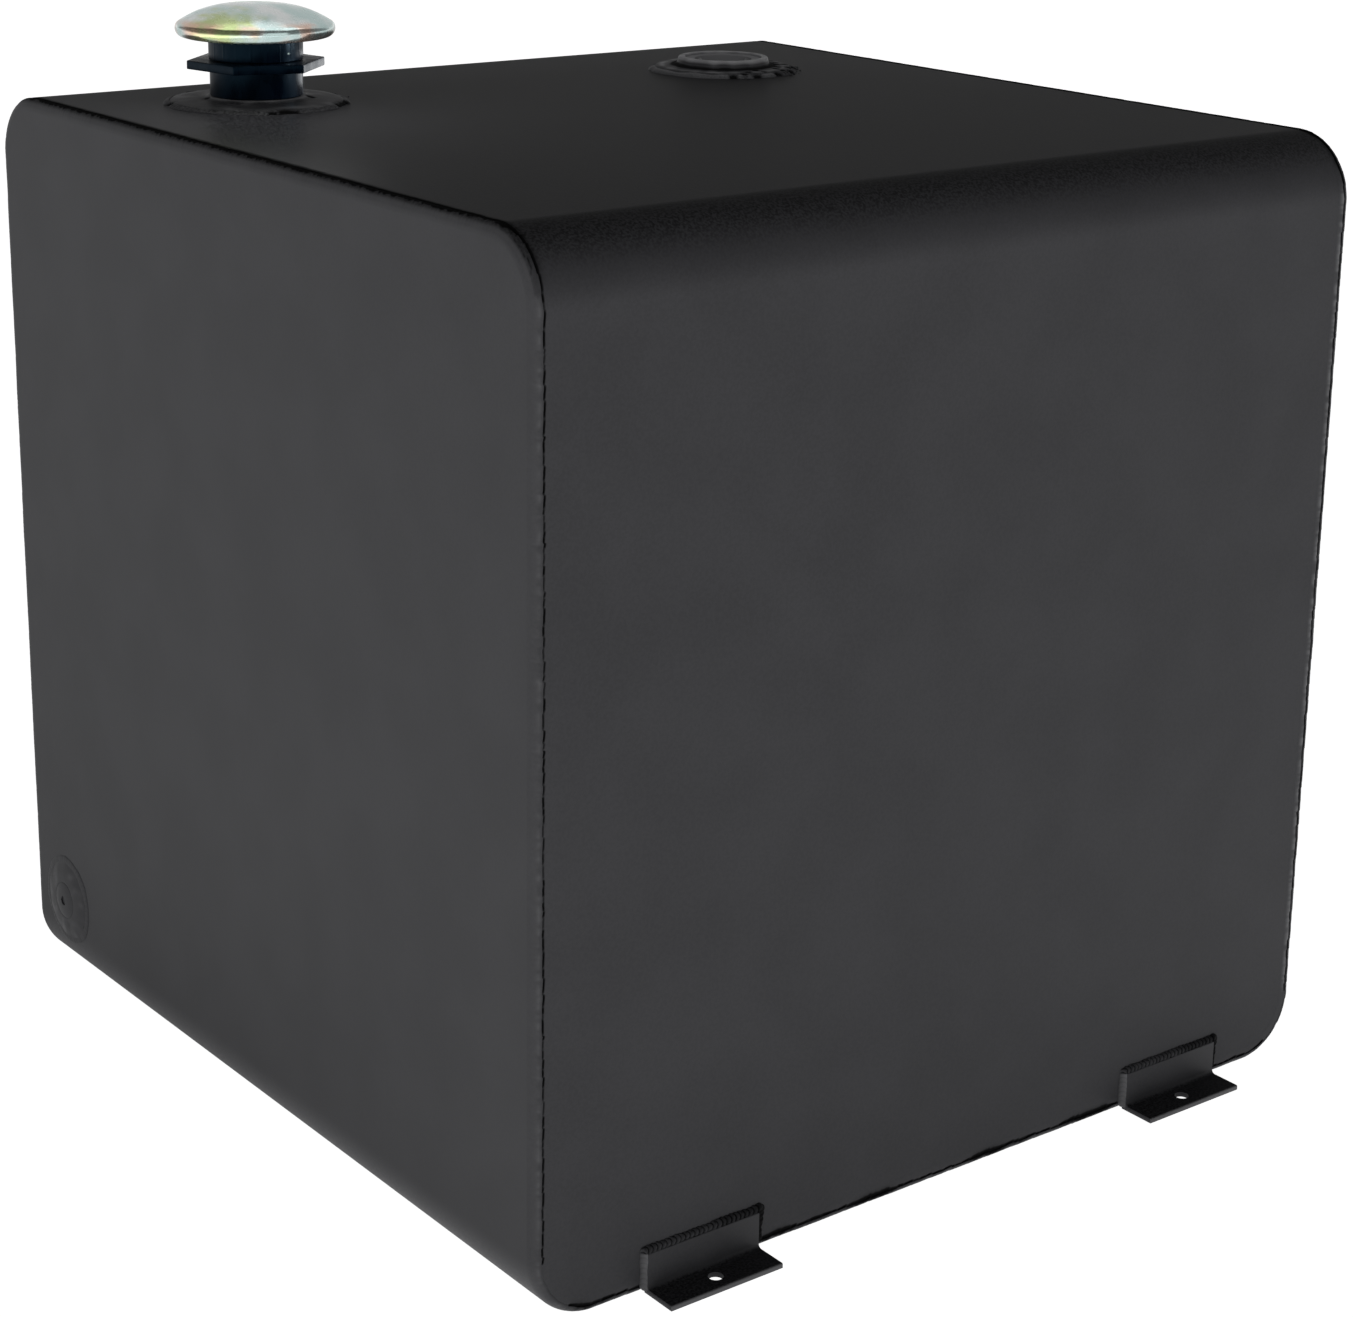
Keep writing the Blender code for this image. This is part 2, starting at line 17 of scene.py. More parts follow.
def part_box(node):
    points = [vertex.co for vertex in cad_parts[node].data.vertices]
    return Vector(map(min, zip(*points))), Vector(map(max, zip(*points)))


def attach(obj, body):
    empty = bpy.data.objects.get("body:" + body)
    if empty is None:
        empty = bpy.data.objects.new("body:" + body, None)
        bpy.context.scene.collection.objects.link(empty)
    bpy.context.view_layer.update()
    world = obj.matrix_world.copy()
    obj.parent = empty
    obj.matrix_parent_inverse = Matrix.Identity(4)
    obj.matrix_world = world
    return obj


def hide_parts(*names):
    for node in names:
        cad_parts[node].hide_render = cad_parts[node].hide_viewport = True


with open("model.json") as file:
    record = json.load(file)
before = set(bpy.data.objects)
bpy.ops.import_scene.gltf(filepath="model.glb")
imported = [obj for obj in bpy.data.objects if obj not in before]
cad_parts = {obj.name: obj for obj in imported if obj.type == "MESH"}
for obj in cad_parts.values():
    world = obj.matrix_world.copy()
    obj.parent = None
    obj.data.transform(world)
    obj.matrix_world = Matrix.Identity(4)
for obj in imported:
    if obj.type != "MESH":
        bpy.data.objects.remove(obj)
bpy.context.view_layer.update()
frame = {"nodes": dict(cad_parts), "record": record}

MM = 0.001

# Box, from the frame
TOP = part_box("upper_shell")[1].z
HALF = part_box("upper_shell")[1].y
SIDE = 2 * HALF
BEND = 41 * MM
SHEET = 2.5 * MM
BEND_STEPS = 20

# Rounded corner of each seam: its reach on the lower sheet's face and on the upper sheet's face
ROLL_LOWER = 7.5 * MM
ROLL_UPPER = 4.6 * MM
SEAM_STEP = 0.8 * MM

# Axes of the filler, the pump port and the drain, at the outer face of the sheet
FILLER = (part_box("filler_flange")[0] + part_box("filler_flange")[1]) / 2
FILLER.z = TOP
PUMP = (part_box("pump_flange")[0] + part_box("pump_flange")[1]) / 2
PUMP.z = TOP
DRAIN = (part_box("drain_flange")[0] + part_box("drain_flange")[1]) / 2
DRAIN.x = -HALF
PORT_HOLE = 28 * MM
DRAIN_HOLE = 14 * MM
RING_STEPS = 128

# Camera: where it stands, how it is turned in degrees, its lens in mm and its shift
CAMERA_PLACE = (-1.12448, -1.48739, 0.87513)
CAMERA_AZIMUTH = -37.566
CAMERA_ELEVATION = 15.918
CAMERA_ROLL = 0.827
CAMERA_LENS = 78.75
CAMERA_SHIFT = -0.1024


# ---------------------------------------------------------------- shapes


def wave(along, seed, size):
    """A smooth random line along a length: from -1 to 1, with bumps about size long."""
    return noise.noise(Vector((along / size, seed * 7.31, 0.37)))


def grid_faces(count, width, close_rows, close_columns):
    faces = []
    for i in range(count if close_rows else count - 1):
        for j in range(width if close_columns else width - 1):
            k, m = (i + 1) % count, (j + 1) % width
            faces.append((i * width + j, i * width + m, k * width + m, k * width + j))
    return faces


def tidy_mesh(mesh, sharp=35):
    """Joins points that coincide, turns the faces outwards and shades them smooth."""
    shape = bmesh.new()
    shape.from_mesh(mesh)
    bmesh.ops.remove_doubles(shape, verts=shape.verts, dist=0.0005 * MM)
    bmesh.ops.recalc_face_normals(shape, faces=shape.faces)
    bmesh.ops.triangulate(shape, faces=[face for face in shape.faces if len(face.verts) > 4])
    shape.to_mesh(mesh)
    shape.free()
    shade(mesh, sharp)
    return mesh


def grid_mesh(name, rows, close_rows=False, close_columns=True, caps=False, wear=None, sharp=35):
    """A mesh through rows of points, with the painted light and wear at each of them."""
    width = len(rows[0])
    faces = grid_faces(len(rows), width, close_rows, close_columns)
    if caps:
        last = (len(rows) - 1) * width
        faces += [tuple(range(width)), tuple(range(last, last + width))]
    mesh = bpy.data.meshes.new(name)
    mesh.from_pydata([point for row in rows for point in row], [], faces)
    if wear is not None:
        paint_light_and_wear(mesh, [value for row in wear for value in row])
    return tidy_mesh(mesh, sharp)


def link(name, mesh):
    obj = bpy.data.objects.new(name, mesh)
    bpy.context.scene.collection.objects.link(obj)
    return obj


def mesh_of(name, shape):
    """Turns a bmesh into a mesh, and frees it."""
    mesh = bpy.data.meshes.new(name)
    shape.to_mesh(mesh)
    shape.free()
    return mesh


def shade(mesh, angle):
    """Shades a mesh smooth, apart from edges that turn more than an angle in degrees."""
    mesh.shade_smooth()
    mesh.set_sharp_from_angle(angle=math.radians(angle))


def paint_light_and_wear(mesh, values):
    """Gives each point its painted light and wear: from -1, near black painted shade and dark tone,
    to 1, pale painted highlight and rubbed wear.
    """
    mesh.attributes.new("wear", "FLOAT", "POINT").data.foreach_set("value", values)


def settle(obj):
    """Applies an object's modifiers to its mesh."""
    graph = bpy.context.evaluated_depsgraph_get()
    mesh = bpy.data.meshes.new_from_object(obj.evaluated_get(graph))
    obj.modifiers.clear()
    obj.data = mesh
    return obj


def combine(obj, other, operation):
    """Cuts obj with another object, or joins the two, and removes the other one."""
    boolean = obj.modifiers.new("combine", "BOOLEAN")
    boolean.operation = operation
    boolean.solver = "EXACT"
    boolean.object = other
    settle(obj)
    bpy.data.objects.remove(other, do_unlink=True)
    return obj


def rod(radius, start, end, sides=64):
    """A plain cylinder from one point to another, for cutting."""
    shape = bmesh.new()
    bmesh.ops.create_cone(
        shape, cap_ends=True, segments=sides, radius1=radius, radius2=radius,
        depth=(end - start).length,
    )
    turn = (end - start).to_track_quat("Z", "Y").to_matrix().to_4x4()
    shape.transform(Matrix.Translation((start + end) / 2) @ turn)
    return link("cutter", mesh_of("cutter", shape))


def fillet(points, closed=True, steps=4):
    """Rounds the corners of a profile of (radius, height, corner reach) points, all in mm."""
    count = len(points)
    out = []
    for k, (r, z, reach) in enumerate(points):
        here = Vector((r, z))
        if reach == 0 or (not closed and k in (0, count - 1)):
            out.append(here)
            continue
        back = Vector(points[k - 1][:2]) - here
        ahead = Vector(points[(k + 1) % count][:2]) - here
        start = here + back.normalized() * min(reach, back.length * 0.48)
        end = here + ahead.normalized() * min(reach, ahead.length * 0.48)
        for i in range(steps + 1):
            t = i / steps
            out.append(start * (1 - t) ** 2 + here * (2 * t * (1 - t)) + end * t * t)
    return out


def turned(name, profile, centre, closed=True, steps=RING_STEPS, warp=None, sharp=35):
    """A turned mesh about +Z through centre, from profile points in mm.

    warp(angle, r, z) may give back another r and z, and the painted light and wear there.
    """
    rows, wear = [], []
    for k in range(steps):
        angle = 2 * math.pi * k / steps
        places = [(r, z, 0) if warp is None else warp(angle, r, z) for r, z in profile]
        rows.append(
            [centre + Vector((r * math.cos(angle), r * math.sin(angle), z)) * MM for r, z, painted_light_and_rub in places]
        )
        wear.append([painted_light_and_rub for r, z, painted_light_and_rub in places])
    return grid_mesh(name, rows, close_rows=True, close_columns=closed, wear=wear, sharp=sharp)


def thicken(line, thickness):
    """A closed profile from an open line and a copy of it, moved inwards by a thickness."""
    inner = []
    for k, point in enumerate(line):
        along = line[min(k + 1, len(line) - 1)] - line[max(k - 1, 0)]
        across = Vector((-along.y, along.x)).normalized()
        moved = point - across * thickness
        inner.append(Vector((max(moved.x, 0), moved.y)))
    return list(line) + inner[::-1]


# ---------------------------------------------------------------- finishes


class Finish:
    """A material's node tree, with short calls for the nodes that the finishes share."""

    def __init__(self, name, **values):
        self.material = bpy.data.materials.new(name)
        self.material.use_nodes = True
        self.nodes = self.material.node_tree.nodes
        self.links = self.material.node_tree.links
        self.shader = self.nodes["Principled BSDF"]
        for key, value in values.items():
            self.shader.inputs[key.replace("_", " ")].default_value = value
        self.place = self.add("ShaderNodeTexCoord").outputs["Object"]

    def add(self, kind, **values):
        node = self.nodes.new(kind)
        for key, value in values.items():
            setattr(node, key, value)
        return node

    def join(self, source, target):
        self.links.new(source, target)

    def value(self, source, target):
        """Joins a socket, or sets a plain number."""
        if isinstance(source, (int, float)):
            target.default_value = source
        else:
            self.join(source, target)

    def noise(self, size, detail=2.0, stretch=(1, 1, 1)):
        """Noise from 0 to 1 with bumps about size metres long, stretched along an axis."""
        mapping = self.add("ShaderNodeMapping")
        mapping.inputs["Scale"].default_value = stretch
        self.join(self.place, mapping.inputs["Vector"])
        node = self.add("ShaderNodeTexNoise")
        node.inputs["Scale"].default_value = 1 / size
        node.inputs["Detail"].default_value = detail
        self.join(mapping.outputs["Vector"], node.inputs["Vector"])
        return node.outputs["Fac"]

    def span(self, source, low, high, to_low=0.0, to_high=1.0):
        """Maps low and high to two other numbers, with a smooth step between them."""
        node = self.add("ShaderNodeMapRange", interpolation_type="SMOOTHSTEP")
        self.join(source, node.inputs["Value"])
        node.inputs["From Min"].default_value = low
        node.inputs["From Max"].default_value = high
        node.inputs["To Min"].default_value = to_low
        node.inputs["To Max"].default_value = to_high
        return node.outputs["Result"]

    def math(self, operation, a, b):
        node = self.add("ShaderNodeMath", operation=operation)
        self.value(a, node.inputs[0])
        self.value(b, node.inputs[1])
        return node.outputs["Value"]

    def blend(self, factor, a, b):
        """Mixes two colours, each a tuple or a socket."""
        node = self.add("ShaderNodeMix", data_type="RGBA")
        self.value(factor, node.inputs[0])
        for source, target in ((a, node.inputs[6]), (b, node.inputs[7])):
            if isinstance(source, tuple):
                target.default_value = (*source, 1.0)
            else:
                self.join(source, target)
        return node.outputs[2]

    def distance(self, point):
        """How far the surface is from a point, in metres."""
        node = self.add("ShaderNodeVectorMath", operation="DISTANCE")
        self.join(self.place, node.inputs[0])
        node.inputs[1].default_value = point
        return node.outputs["Value"]

    def attribute(self, name):
        return self.add("ShaderNodeAttribute", attribute_name=name).outputs["Fac"]

    def upward(self):
        """1 where the surface faces up and 0 where it stands or faces down."""
        parts = self.add("ShaderNodeSeparateXYZ")
        self.join(self.add("ShaderNodeNewGeometry").outputs["Normal"], parts.inputs[0])
        return parts.outputs["Z"]

    def bumps(self, *layers):
        """Chains bump layers of (height socket, depth in metres) into the shader's normal."""
        before = None
        for height, depth in layers:
            node = self.add("ShaderNodeBump")
            node.inputs["Distance"].default_value = depth
            self.join(height, node.inputs["Height"])
            if before is not None:
                self.join(before, node.inputs["Normal"])
            before = node.outputs["Normal"]
        self.join(before, self.shader.inputs["Normal"])

    def colour(self, source):
        self.join(source, self.shader.inputs["Base Color"])

    def roughness(self, source):
        self.join(source, self.shader.inputs["Roughness"])


def black_paint():
    """Satin black powder coat: mottled, finely pebbled, near black with painted shade in crevices,
    and pale with painted highlights and some rubbed wear.
    """
    paint = Finish("black_paint", Specular_IOR_Level=0.1)
    mottle = paint.noise(60 * MM, 4)
    grain = paint.noise(1.6 * MM, 3)
    skin = paint.noise(4.5 * MM, 2)
    slow = paint.noise(230 * MM, 1)
    body = paint.blend(paint.span(mottle, 0.3, 0.7), (0.060, 0.060, 0.0645), (0.067, 0.067, 0.072))
    pebbled = paint.blend(paint.span(grain, 0.32, 0.68), (0.010, 0.010, 0.011), (0.070, 0.070, 0.075))
    upward = paint.span(paint.upward(), 0.45, 0.98, 0.12, 0.9)
    body = paint.blend(upward, body, pebbled)
    wear = paint.attribute("wear")
    # Pale where the value is above 0: painted highlights, and some rubbed wear.
    body = paint.blend(paint.span(wear, 0.0, 1.0), body, (0.34, 0.34, 0.35))
    # Near black where it is below 0: painted shade in crevices, notches and pits, and random dark tone.
    painted_shade_and_dark_tone = paint.span(wear, 0.0, -1.0)
    paint.colour(paint.blend(painted_shade_and_dark_tone, body, (0.003, 0.003, 0.0033)))
    rough = paint.span(grain, 0.3, 0.7, 0.38, 0.48)
    paint.roughness(paint.math("ADD", rough, paint.math("MULTIPLY", painted_shade_and_dark_tone, 0.4)))
    pebbles = paint.math("MULTIPLY", grain, upward)
    paint.bumps((slow, 0.5 * MM), (skin, 0.03 * MM), (pebbles, 0.10 * MM))
    return paint.material


def glossy_nylon():
    """Moulded blue-black nylon with faint flow marks."""
    nylon = Finish("glossy_nylon", Specular_IOR_Level=0.17, Specular_Tint=(0.30, 0.68, 1.0, 1.0))
    flow = nylon.noise(9 * MM, 3, stretch=(1, 1, 0.25))
    fine = nylon.noise(0.8 * MM, 2)
    nylon.colour(nylon.blend(nylon.span(flow, 0.35, 0.65), (0.0004, 0.002, 0.007), (0.002, 0.0065, 0.015)))
    nylon.roughness(nylon.span(flow, 0.3, 0.7, 0.22, 0.38))
    nylon.bumps((flow, 0.15 * MM), (fine, 0.012 * MM))
    return nylon.material


def yellow_zinc():
    """Bright zinc plate with the green, yellow and pink films of its passivation."""
    zinc = Finish("yellow_zinc", Metallic=0.88)
    drift = zinc.noise(22 * MM, 3)
    streak = zinc.noise(9 * MM, 3, stretch=(1, 0.45, 1))
    fine = zinc.noise(1.2 * MM, 3)
    out = zinc.distance(FILLER + Vector((0, 0, 50)) * MM)
    spot = zinc.distance(FILLER + Vector((-36, -22, 52)) * MM)
    silver = zinc.blend(zinc.span(drift, 0.35, 0.65), (0.62, 0.78, 0.76), (0.90, 0.93, 0.92))
    film = zinc.math("ADD", spot, zinc.math("MULTIPLY", streak, 44 * MM))
    green = zinc.math("MULTIPLY", zinc.span(film, 50 * MM, 30 * MM), 0.9)
    body = zinc.blend(green, silver, (0.56, 0.66, 0.27))
    pink = zinc.math("MULTIPLY", zinc.span(out, 43 * MM, 48 * MM), zinc.span(drift, 0.42, 0.62, 0.0, 0.8))
    zinc.colour(zinc.blend(pink, body, (0.88, 0.58, 0.44)))
    zinc.roughness(zinc.span(streak, 0.3, 0.7, 0.17, 0.30))
    zinc.bumps((drift, 0.6 * MM), (streak, 0.08 * MM), (fine, 0.006 * MM))
    return zinc.material


def plain_steel():
    steel = Finish("plain_steel", Metallic=1.0)
    brush = steel.noise(0.9 * MM, 3, stretch=(1, 1, 0.08))
    stain = steel.noise(18 * MM, 4)
    steel.colour(steel.blend(stain, (0.40, 0.40, 0.41), (0.56, 0.56, 0.56)))
    steel.roughness(steel.span(brush, 0.3, 0.7, 0.28, 0.45))
    steel.bumps((brush, 0.02 * MM))
    return steel.material


def turned_brass():
    brass = Finish("turned_brass", Metallic=1.0)
    stain = brass.noise(5 * MM, 4)
    lines = brass.noise(0.5 * MM, 1, stretch=(0.1, 0.1, 1))
    brass.colour(brass.blend(stain, (0.62, 0.45, 0.18), (0.78, 0.60, 0.28)))
    brass.roughness(brass.span(stain, 0.3, 0.7, 0.22, 0.38))
    brass.bumps((lines, 0.015 * MM))
    return brass.material


def soft_copper():
    copper = Finish("soft_copper", Metallic=1.0)
    stain = copper.noise(4 * MM, 4)
    copper.colour(copper.blend(stain, (0.55, 0.24, 0.14), (0.78, 0.42, 0.28)))
    copper.roughness(copper.span(stain, 0.3, 0.7, 0.28, 0.45))
    copper.bumps((stain, 0.03 * MM))
    return copper.material


def seal_rubber():
    rubber = Finish("seal_rubber", Specular_IOR_Level=0.3)
    dust = rubber.noise(6 * MM, 4)
    fine = rubber.noise(0.6 * MM, 2)
    rubber.colour(rubber.blend(dust, (0.012, 0.012, 0.012), (0.03, 0.03, 0.03)))
    rubber.roughness(rubber.span(dust, 0.3, 0.7, 0.7, 0.88))
    rubber.bumps((fine, 0.03 * MM))
    return rubber.material


def filter_foam():
    foam = Finish("filter_foam", Specular_IOR_Level=0.1)
    cells = foam.add("ShaderNodeTexVoronoi")
    cells.inputs["Scale"].default_value = 1 / (1.1 * MM)
    foam.join(foam.place, cells.inputs["Vector"])
    # Painted shade: darker away from the cells' centres, as if deeper there.
    depth = foam.span(cells.outputs["Distance"], 0.1, 0.6)
    foam.colour(foam.blend(depth, (0.30, 0.27, 0.20), (0.12, 0.11, 0.085)))
    foam.roughness(foam.span(cells.outputs["Distance"], 0.0, 1.0, 0.85, 1.0))
    foam.bumps((cells.outputs["Distance"], 0.5 * MM))
    return foam.material


SLOTS = {
    "black_paint": black_paint(),
    "black_nylon": glossy_nylon(),
    "yellow_zinc": yellow_zinc(),
    "bare_steel": plain_steel(),
    "brass": turned_brass(),
    "copper": soft_copper(),
    "seal_rubber": seal_rubber(),
    "filter_foam": filter_foam(),
}


def piece(obj, slot, body, *nodes):
    """Gives a finished mesh its material, its body and the CAD nodes that it stands for."""
    obj.data.materials.clear()
    obj.data.materials.append(SLOTS[slot])
    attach(obj, body)
    if nodes:
        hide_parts(*nodes)
    return obj


# ---------------------------------------------------------------- sheets


def arc(u, v, radius, start, end, steps):
    """Points on an arc with their outward directions."""
    out = []
    for k in range(steps + 1):
        angle = math.radians(start + (end - start) * k / steps)
        way = Vector((math.cos(angle), math.sin(angle)))
        out.append((Vector((u, v)) + way * radius, way))
    return out


def leg_outline(inset):
    """The free edge of a sheet's leg, moved inwards: up one side, round, across, round and down."""
    centre = HALF - BEND
    high = SIDE - BEND
    radius = BEND - inset
    right = arc(centre, high, radius, 0, 90, BEND_STEPS)
    left = arc(-centre, high, radius, 90, 180, BEND_STEPS)
    foot = [(Vector((HALF - inset, BEND)), Vector((1, 0)))]
    other_foot = [(Vector((inset - HALF, BEND)), Vector((-1, 0)))]
    return foot + right + left + other_foot


def bent_sheet(name, insets, to_world):
    """A sheet bent to a U, from (inset, sink) pairs that say how its face sinks near its free edge.

    Its own axes are a, out along the legs; b, along the bends; c, up the legs from the base.
    """
    shape = bmesh.new()

    def point(a, b, c):
        return shape.verts.new(to_world(a, b, c))

    def quads(rows):
        for one, two in zip(rows[:-1], rows[1:]):
            for k in range(len(one) - 1):
                shape.faces.new((one[k], one[k + 1], two[k + 1], two[k]))

    for side in (-1, 1):
        rows = []
        for inset, sink in insets:
            rows.append([point(side * (HALF - sink), p.x, p.y) for p, way in leg_outline(inset)])
        quads(rows)
        shape.faces.new(rows[-1])
    columns = [(HALF - inset, sink) for inset, sink in insets]
    columns += [(-b, sink) for b, sink in reversed(columns)]
    profile = [
        (Vector((p.x, SIDE - p.y)), Vector((way.x, -way.y)))
        for p, way in arc(HALF - BEND, SIDE - BEND, BEND, 0, 90, BEND_STEPS)
        + arc(BEND - HALF, SIDE - BEND, BEND, 90, 180, BEND_STEPS)
    ]
    quads([[point(p.x - way.x * s, b, p.y - way.y * s) for b, s in columns] for p, way in profile])
    bmesh.ops.remove_doubles(shape, verts=shape.verts, dist=0.001 * MM)
    bmesh.ops.recalc_face_normals(shape, faces=shape.faces)
    base = min(shape.faces, key=lambda f: (f.calc_center_median() - to_world(0, 0, 0)).length)
    if base.normal.dot(to_world(0, 0, 0) - to_world(0, 0, SIDE / 2)) < 0:
        bmesh.ops.reverse_faces(shape, faces=shape.faces)
    obj = link(name, mesh_of(name, shape))
    solid = obj.modifiers.new("thickness", "SOLIDIFY")
    solid.thickness = SHEET - 0.1 * MM
    solid.offset = -1
    settle(obj)
    return obj


def make_sheets():
    lower = bent_sheet(
        "lower_sheet",
        [(2.5 * MM, 2.0 * MM), (5.0 * MM, 1.0 * MM), (7.0 * MM, 0.3 * MM), (7.5 * MM, 0), (12 * MM, 0)],
        lambda a, b, c: Vector((a, b, c)),
    )
    out = Vector((10 * MM, 0, 0))
    combine(lower, rod(DRAIN_HOLE, DRAIN - out, DRAIN + out), "DIFFERENCE")
    shade(lower.data, 30)
    piece(lower, "black_paint", "tank", "lower_shell")
    upper = bent_sheet(
        "upper_sheet",
        [(2.8 * MM, 1.3 * MM), (9.2 * MM, 1.3 * MM), (10.0 * MM, 0), (15 * MM, 0)],
        lambda a, b, c: Vector((b, a, TOP - c)),
    )
    up = Vector((0, 0, 10 * MM))
    for centre in (FILLER, PUMP):
        combine(upper, rod(PORT_HOLE, centre - up, centre + up), "DIFFERENCE")
    shade(upper.data, 30)
    piece(upper, "black_paint", "tank", "upper_shell")


# ---------------------------------------------------------------- seam welds


def seam_line(low):
    """Stations along an outline that goes up, over and down: point, outward way and run."""
    centre, high = HALF - BEND, SIDE - BEND
    corner_steps = round(BEND * math.pi / 2 / SEAM_STEP)
    top_steps = round(2 * centre / SEAM_STEP)
    stations = []
    if low < high:
        leg_steps = round((high - low) / SEAM_STEP)
        stations += [
            (Vector((HALF, low + (high - low) * k / leg_steps)), Vector((1, 0))) for k in range(leg_steps)
        ]
    stations += arc(centre, high, BEND, 0, 90, corner_steps)
    stations += [
        (Vector((centre - 2 * centre * k / top_steps, SIDE)), Vector((0, 1))) for k in range(1, top_steps)
    ]
    stations += arc(-centre, high, BEND, 90, 180, corner_steps)
    if low < high:
        stations += [
            (Vector((-HALF, high - (high - low) * k / leg_steps)), Vector((-1, 0)))
            for k in range(1, leg_steps + 1)
        ]
    run = 0
    out = []
    for k, (point, way) in enumerate(stations):
        if k:
            run += (point - stations[k - 1][0]).length
        out.append((point, way, run))
    return out


def cracks(length, seed):
    """Cracks that follow each other along a seam: (end, length, sideways start, slant, strength)."""
    chance = random.Random(seed)
    end = 0
    while end < length:
        size = chance.uniform(2.5, 10) * MM
        end += size
        strength = chance.choice((0.65, 0.8, 1.0, 1.0, 1.0))
        yield end, size, chance.uniform(-0.3, 0.2) * MM, chance.uniform(-0.2, 0.75) * MM, strength


def seam_section(run, crack, heavy, open_part, glint, broad, bend, seed):
    """The weld's cross-section: (depth below the upper face, depth below the lower face, painted
    light and wear).

    heavy is how open its crevice is and how black the painted shade in it is, up to broad mm
    wide, and bend is 1 in a bend.
    """
    end, size, aside, slant, strength = crack
    part = 1 - (end - run) / size
    drift = aside + slant * part + 0.15 * MM * wave(run, seed, 2.2 * MM)
    taper = min(1, 5 * part, 5 * (1 - part) + 0.25)
    # dark is how near black the painted shade in the crack's crevice is.
    dark = strength * (0.45 + 0.55 * taper) * open_part
    dark += heavy * (1 - dark)
    blotch = min(1, max(0, 0.5 + 0.9 * wave(run, seed + 1, 5 * MM) + 0.6 * wave(run, seed + 2, 2 * MM)))
    lump = wave(run, seed + 3, 31 * MM)
    jagged = 1.9 * wave(run, seed + 4, 2.6 * MM)
    section = [(ROLL_LOWER + 0.2 * MM, -0.02 * MM, 0.0)]
    for k in range(1, 9):
        turn = math.pi / 2 * k / 8
        p = ROLL_LOWER * (1 - math.sin(turn))
        q = ROLL_UPPER * (1 - math.cos(turn)) + drift * (k / 8) ** 2
        ripple = abs(math.sin(math.pi * (run / MM + 1.3 * (k / 8) ** 2) / 3.3 + seed)) ** 0.7
        swell = math.sin(2 * turn) * (0.12 * lump + 0.10 * ripple * (0.5 + lump)) * MM
        # Pale bands on the rounded corner are painted highlight, partly rubbed wear; where the crevice is
        # heavy, painted shade darkens the corner into a near black band.
        painted_light_and_rub = 0.17 * blotch * math.exp(-(((k - 6.2) / 1.4) ** 2)) + 0.14 * math.sin(2 * turn)
        painted_light_and_rub += heavy * (0.20 * math.exp(-(((k - 3.6) / 1.6) ** 2)) - painted_light_and_rub)
        painted_light_and_rub -= 1.3 * heavy * (1 - bend) * min(1, max(0, (k - 5.6 + jagged) / 1.5))
        painted_light_and_rub -= 0.8 * heavy * bend * math.exp(-(((k - 5.4 + 0.5 * jagged) / 0.6) ** 2))
        section.append((p - swell * math.sin(turn), q - swell * math.cos(turn), max(-1, painted_light_and_rub)))
    edge = ROLL_UPPER + drift
    width = (0.50 + 0.55 * strength * open_part + broad * heavy) * MM
    depth = (0.10 + 0.60 * dark) * MM
    # toe is a painted highlight glinting on the upright toe; the crevice's points below carry its painted
    # shade.
    toe = glint * min(1, 0.25 + blotch) * (1 - heavy)
    section += [
        (0.10 * MM, edge + 0.15 * MM, -dark * 0.8),
        (depth, edge + 0.30 * MM, -dark),
        (depth, edge + 0.30 * MM + width * 0.6, -dark),
        (0.06 * MM, edge + 0.30 * MM + width, toe - dark * 0.8 * (1 - glint)),
        (0.00, edge + 0.90 * MM + width, toe * 0.8 - 0.5 * heavy * dark),
        (-0.02 * MM, 10.6 * MM, 0.0),
        (1.3 * MM, 10.4 * MM, 0.0),
        (2.6 * MM, 4.6 * MM, 0.0),
        (4.6 * MM, 2.0 * MM, 0.0),
        (7.4 * MM, 0.8 * MM, 0.0),
    ]
    return section


def seam(name, node, low, place, seed, glint=0.0, broad=1.6, along_top=1.0, round_bend=1.0):
    """A ground corner weld. place turns an outline station into the corner and the two outward ways.

    Its upright toe gets a painted highlight, as strong as glint. It is open, with near black painted
    shade in it, by along_top where its outline is level, and up to broad mm wide there. Its small
    cracks are as strong as round_bend where it bends.
    """
    rows, wear = [], []
    stations = seam_line(low)
    each = cracks(stations[-1][2] + MM, seed)
    crack = next(each)
    for point, way, run in stations:
        while run > crack[0]:
            crack = next(each)
        corner, out_upper, out_lower = place(point, way)
        level = min(1, max(0, (way.y - 0.15) / 0.45))
        open_part = round_bend if way.y < 0.86 else 1.0
        # heavy: how open the crevice is, and how near black its painted shade is, along the level top.
        heavy = along_top * level * open_part
        if along_top < 1:
            heavy *= min(1, max(0, 0.5 + 1.4 * wave(run + 10 * MM, seed + 6, 22 * MM)))
        bend = min(1, max(0, (1 - way.y) / 0.12))
        section = seam_section(run, crack, heavy, open_part, glint, broad * (1 - 0.75 * bend), bend, seed)
        rows.append([corner - out_upper * p - out_lower * q for p, q, painted_light_and_rub in section])
        wear.append([painted_light_and_rub for p, q, painted_light_and_rub in section])
    mesh = grid_mesh(name, rows, caps=True, wear=wear, sharp=50)
    piece(link(name, mesh), "black_paint", "tank", node)


def make_seams():
    for name, side, seed, glint, broad in (("left", -1, 3, 0.0, 1.5), ("right", 1, 11, 0.6, 4.2)):
        out_lower = Vector((side, 0, 0))
        seam(
            f"corner_weld_{name}",
            f"seam_weld_{name}",
            BEND,
            lambda p, way, side=side, out=out_lower: (
                Vector((side * HALF, -p.x, p.y)), Vector((0, -way.x, way.y)), out
            ),
            seed,
            glint,
            broad,
        )
    for name, side, seed in (("front", -1, 19), ("rear", 1, 27)):
        out_upper = Vector((0, side, 0))
        seam(
            f"corner_weld_{name}",
            f"seam_weld_{name}",
            SIDE - BEND,
            lambda p, way, side=side, out=out_upper: (
                Vector((-p.x, side * HALF, TOP - p.y)), out, Vector((-way.x, 0, -way.y))
            ),
            seed,
            along_top=0.9,
            round_bend=0.12,
        )


# ---------------------------------------------------------------- fillet welds


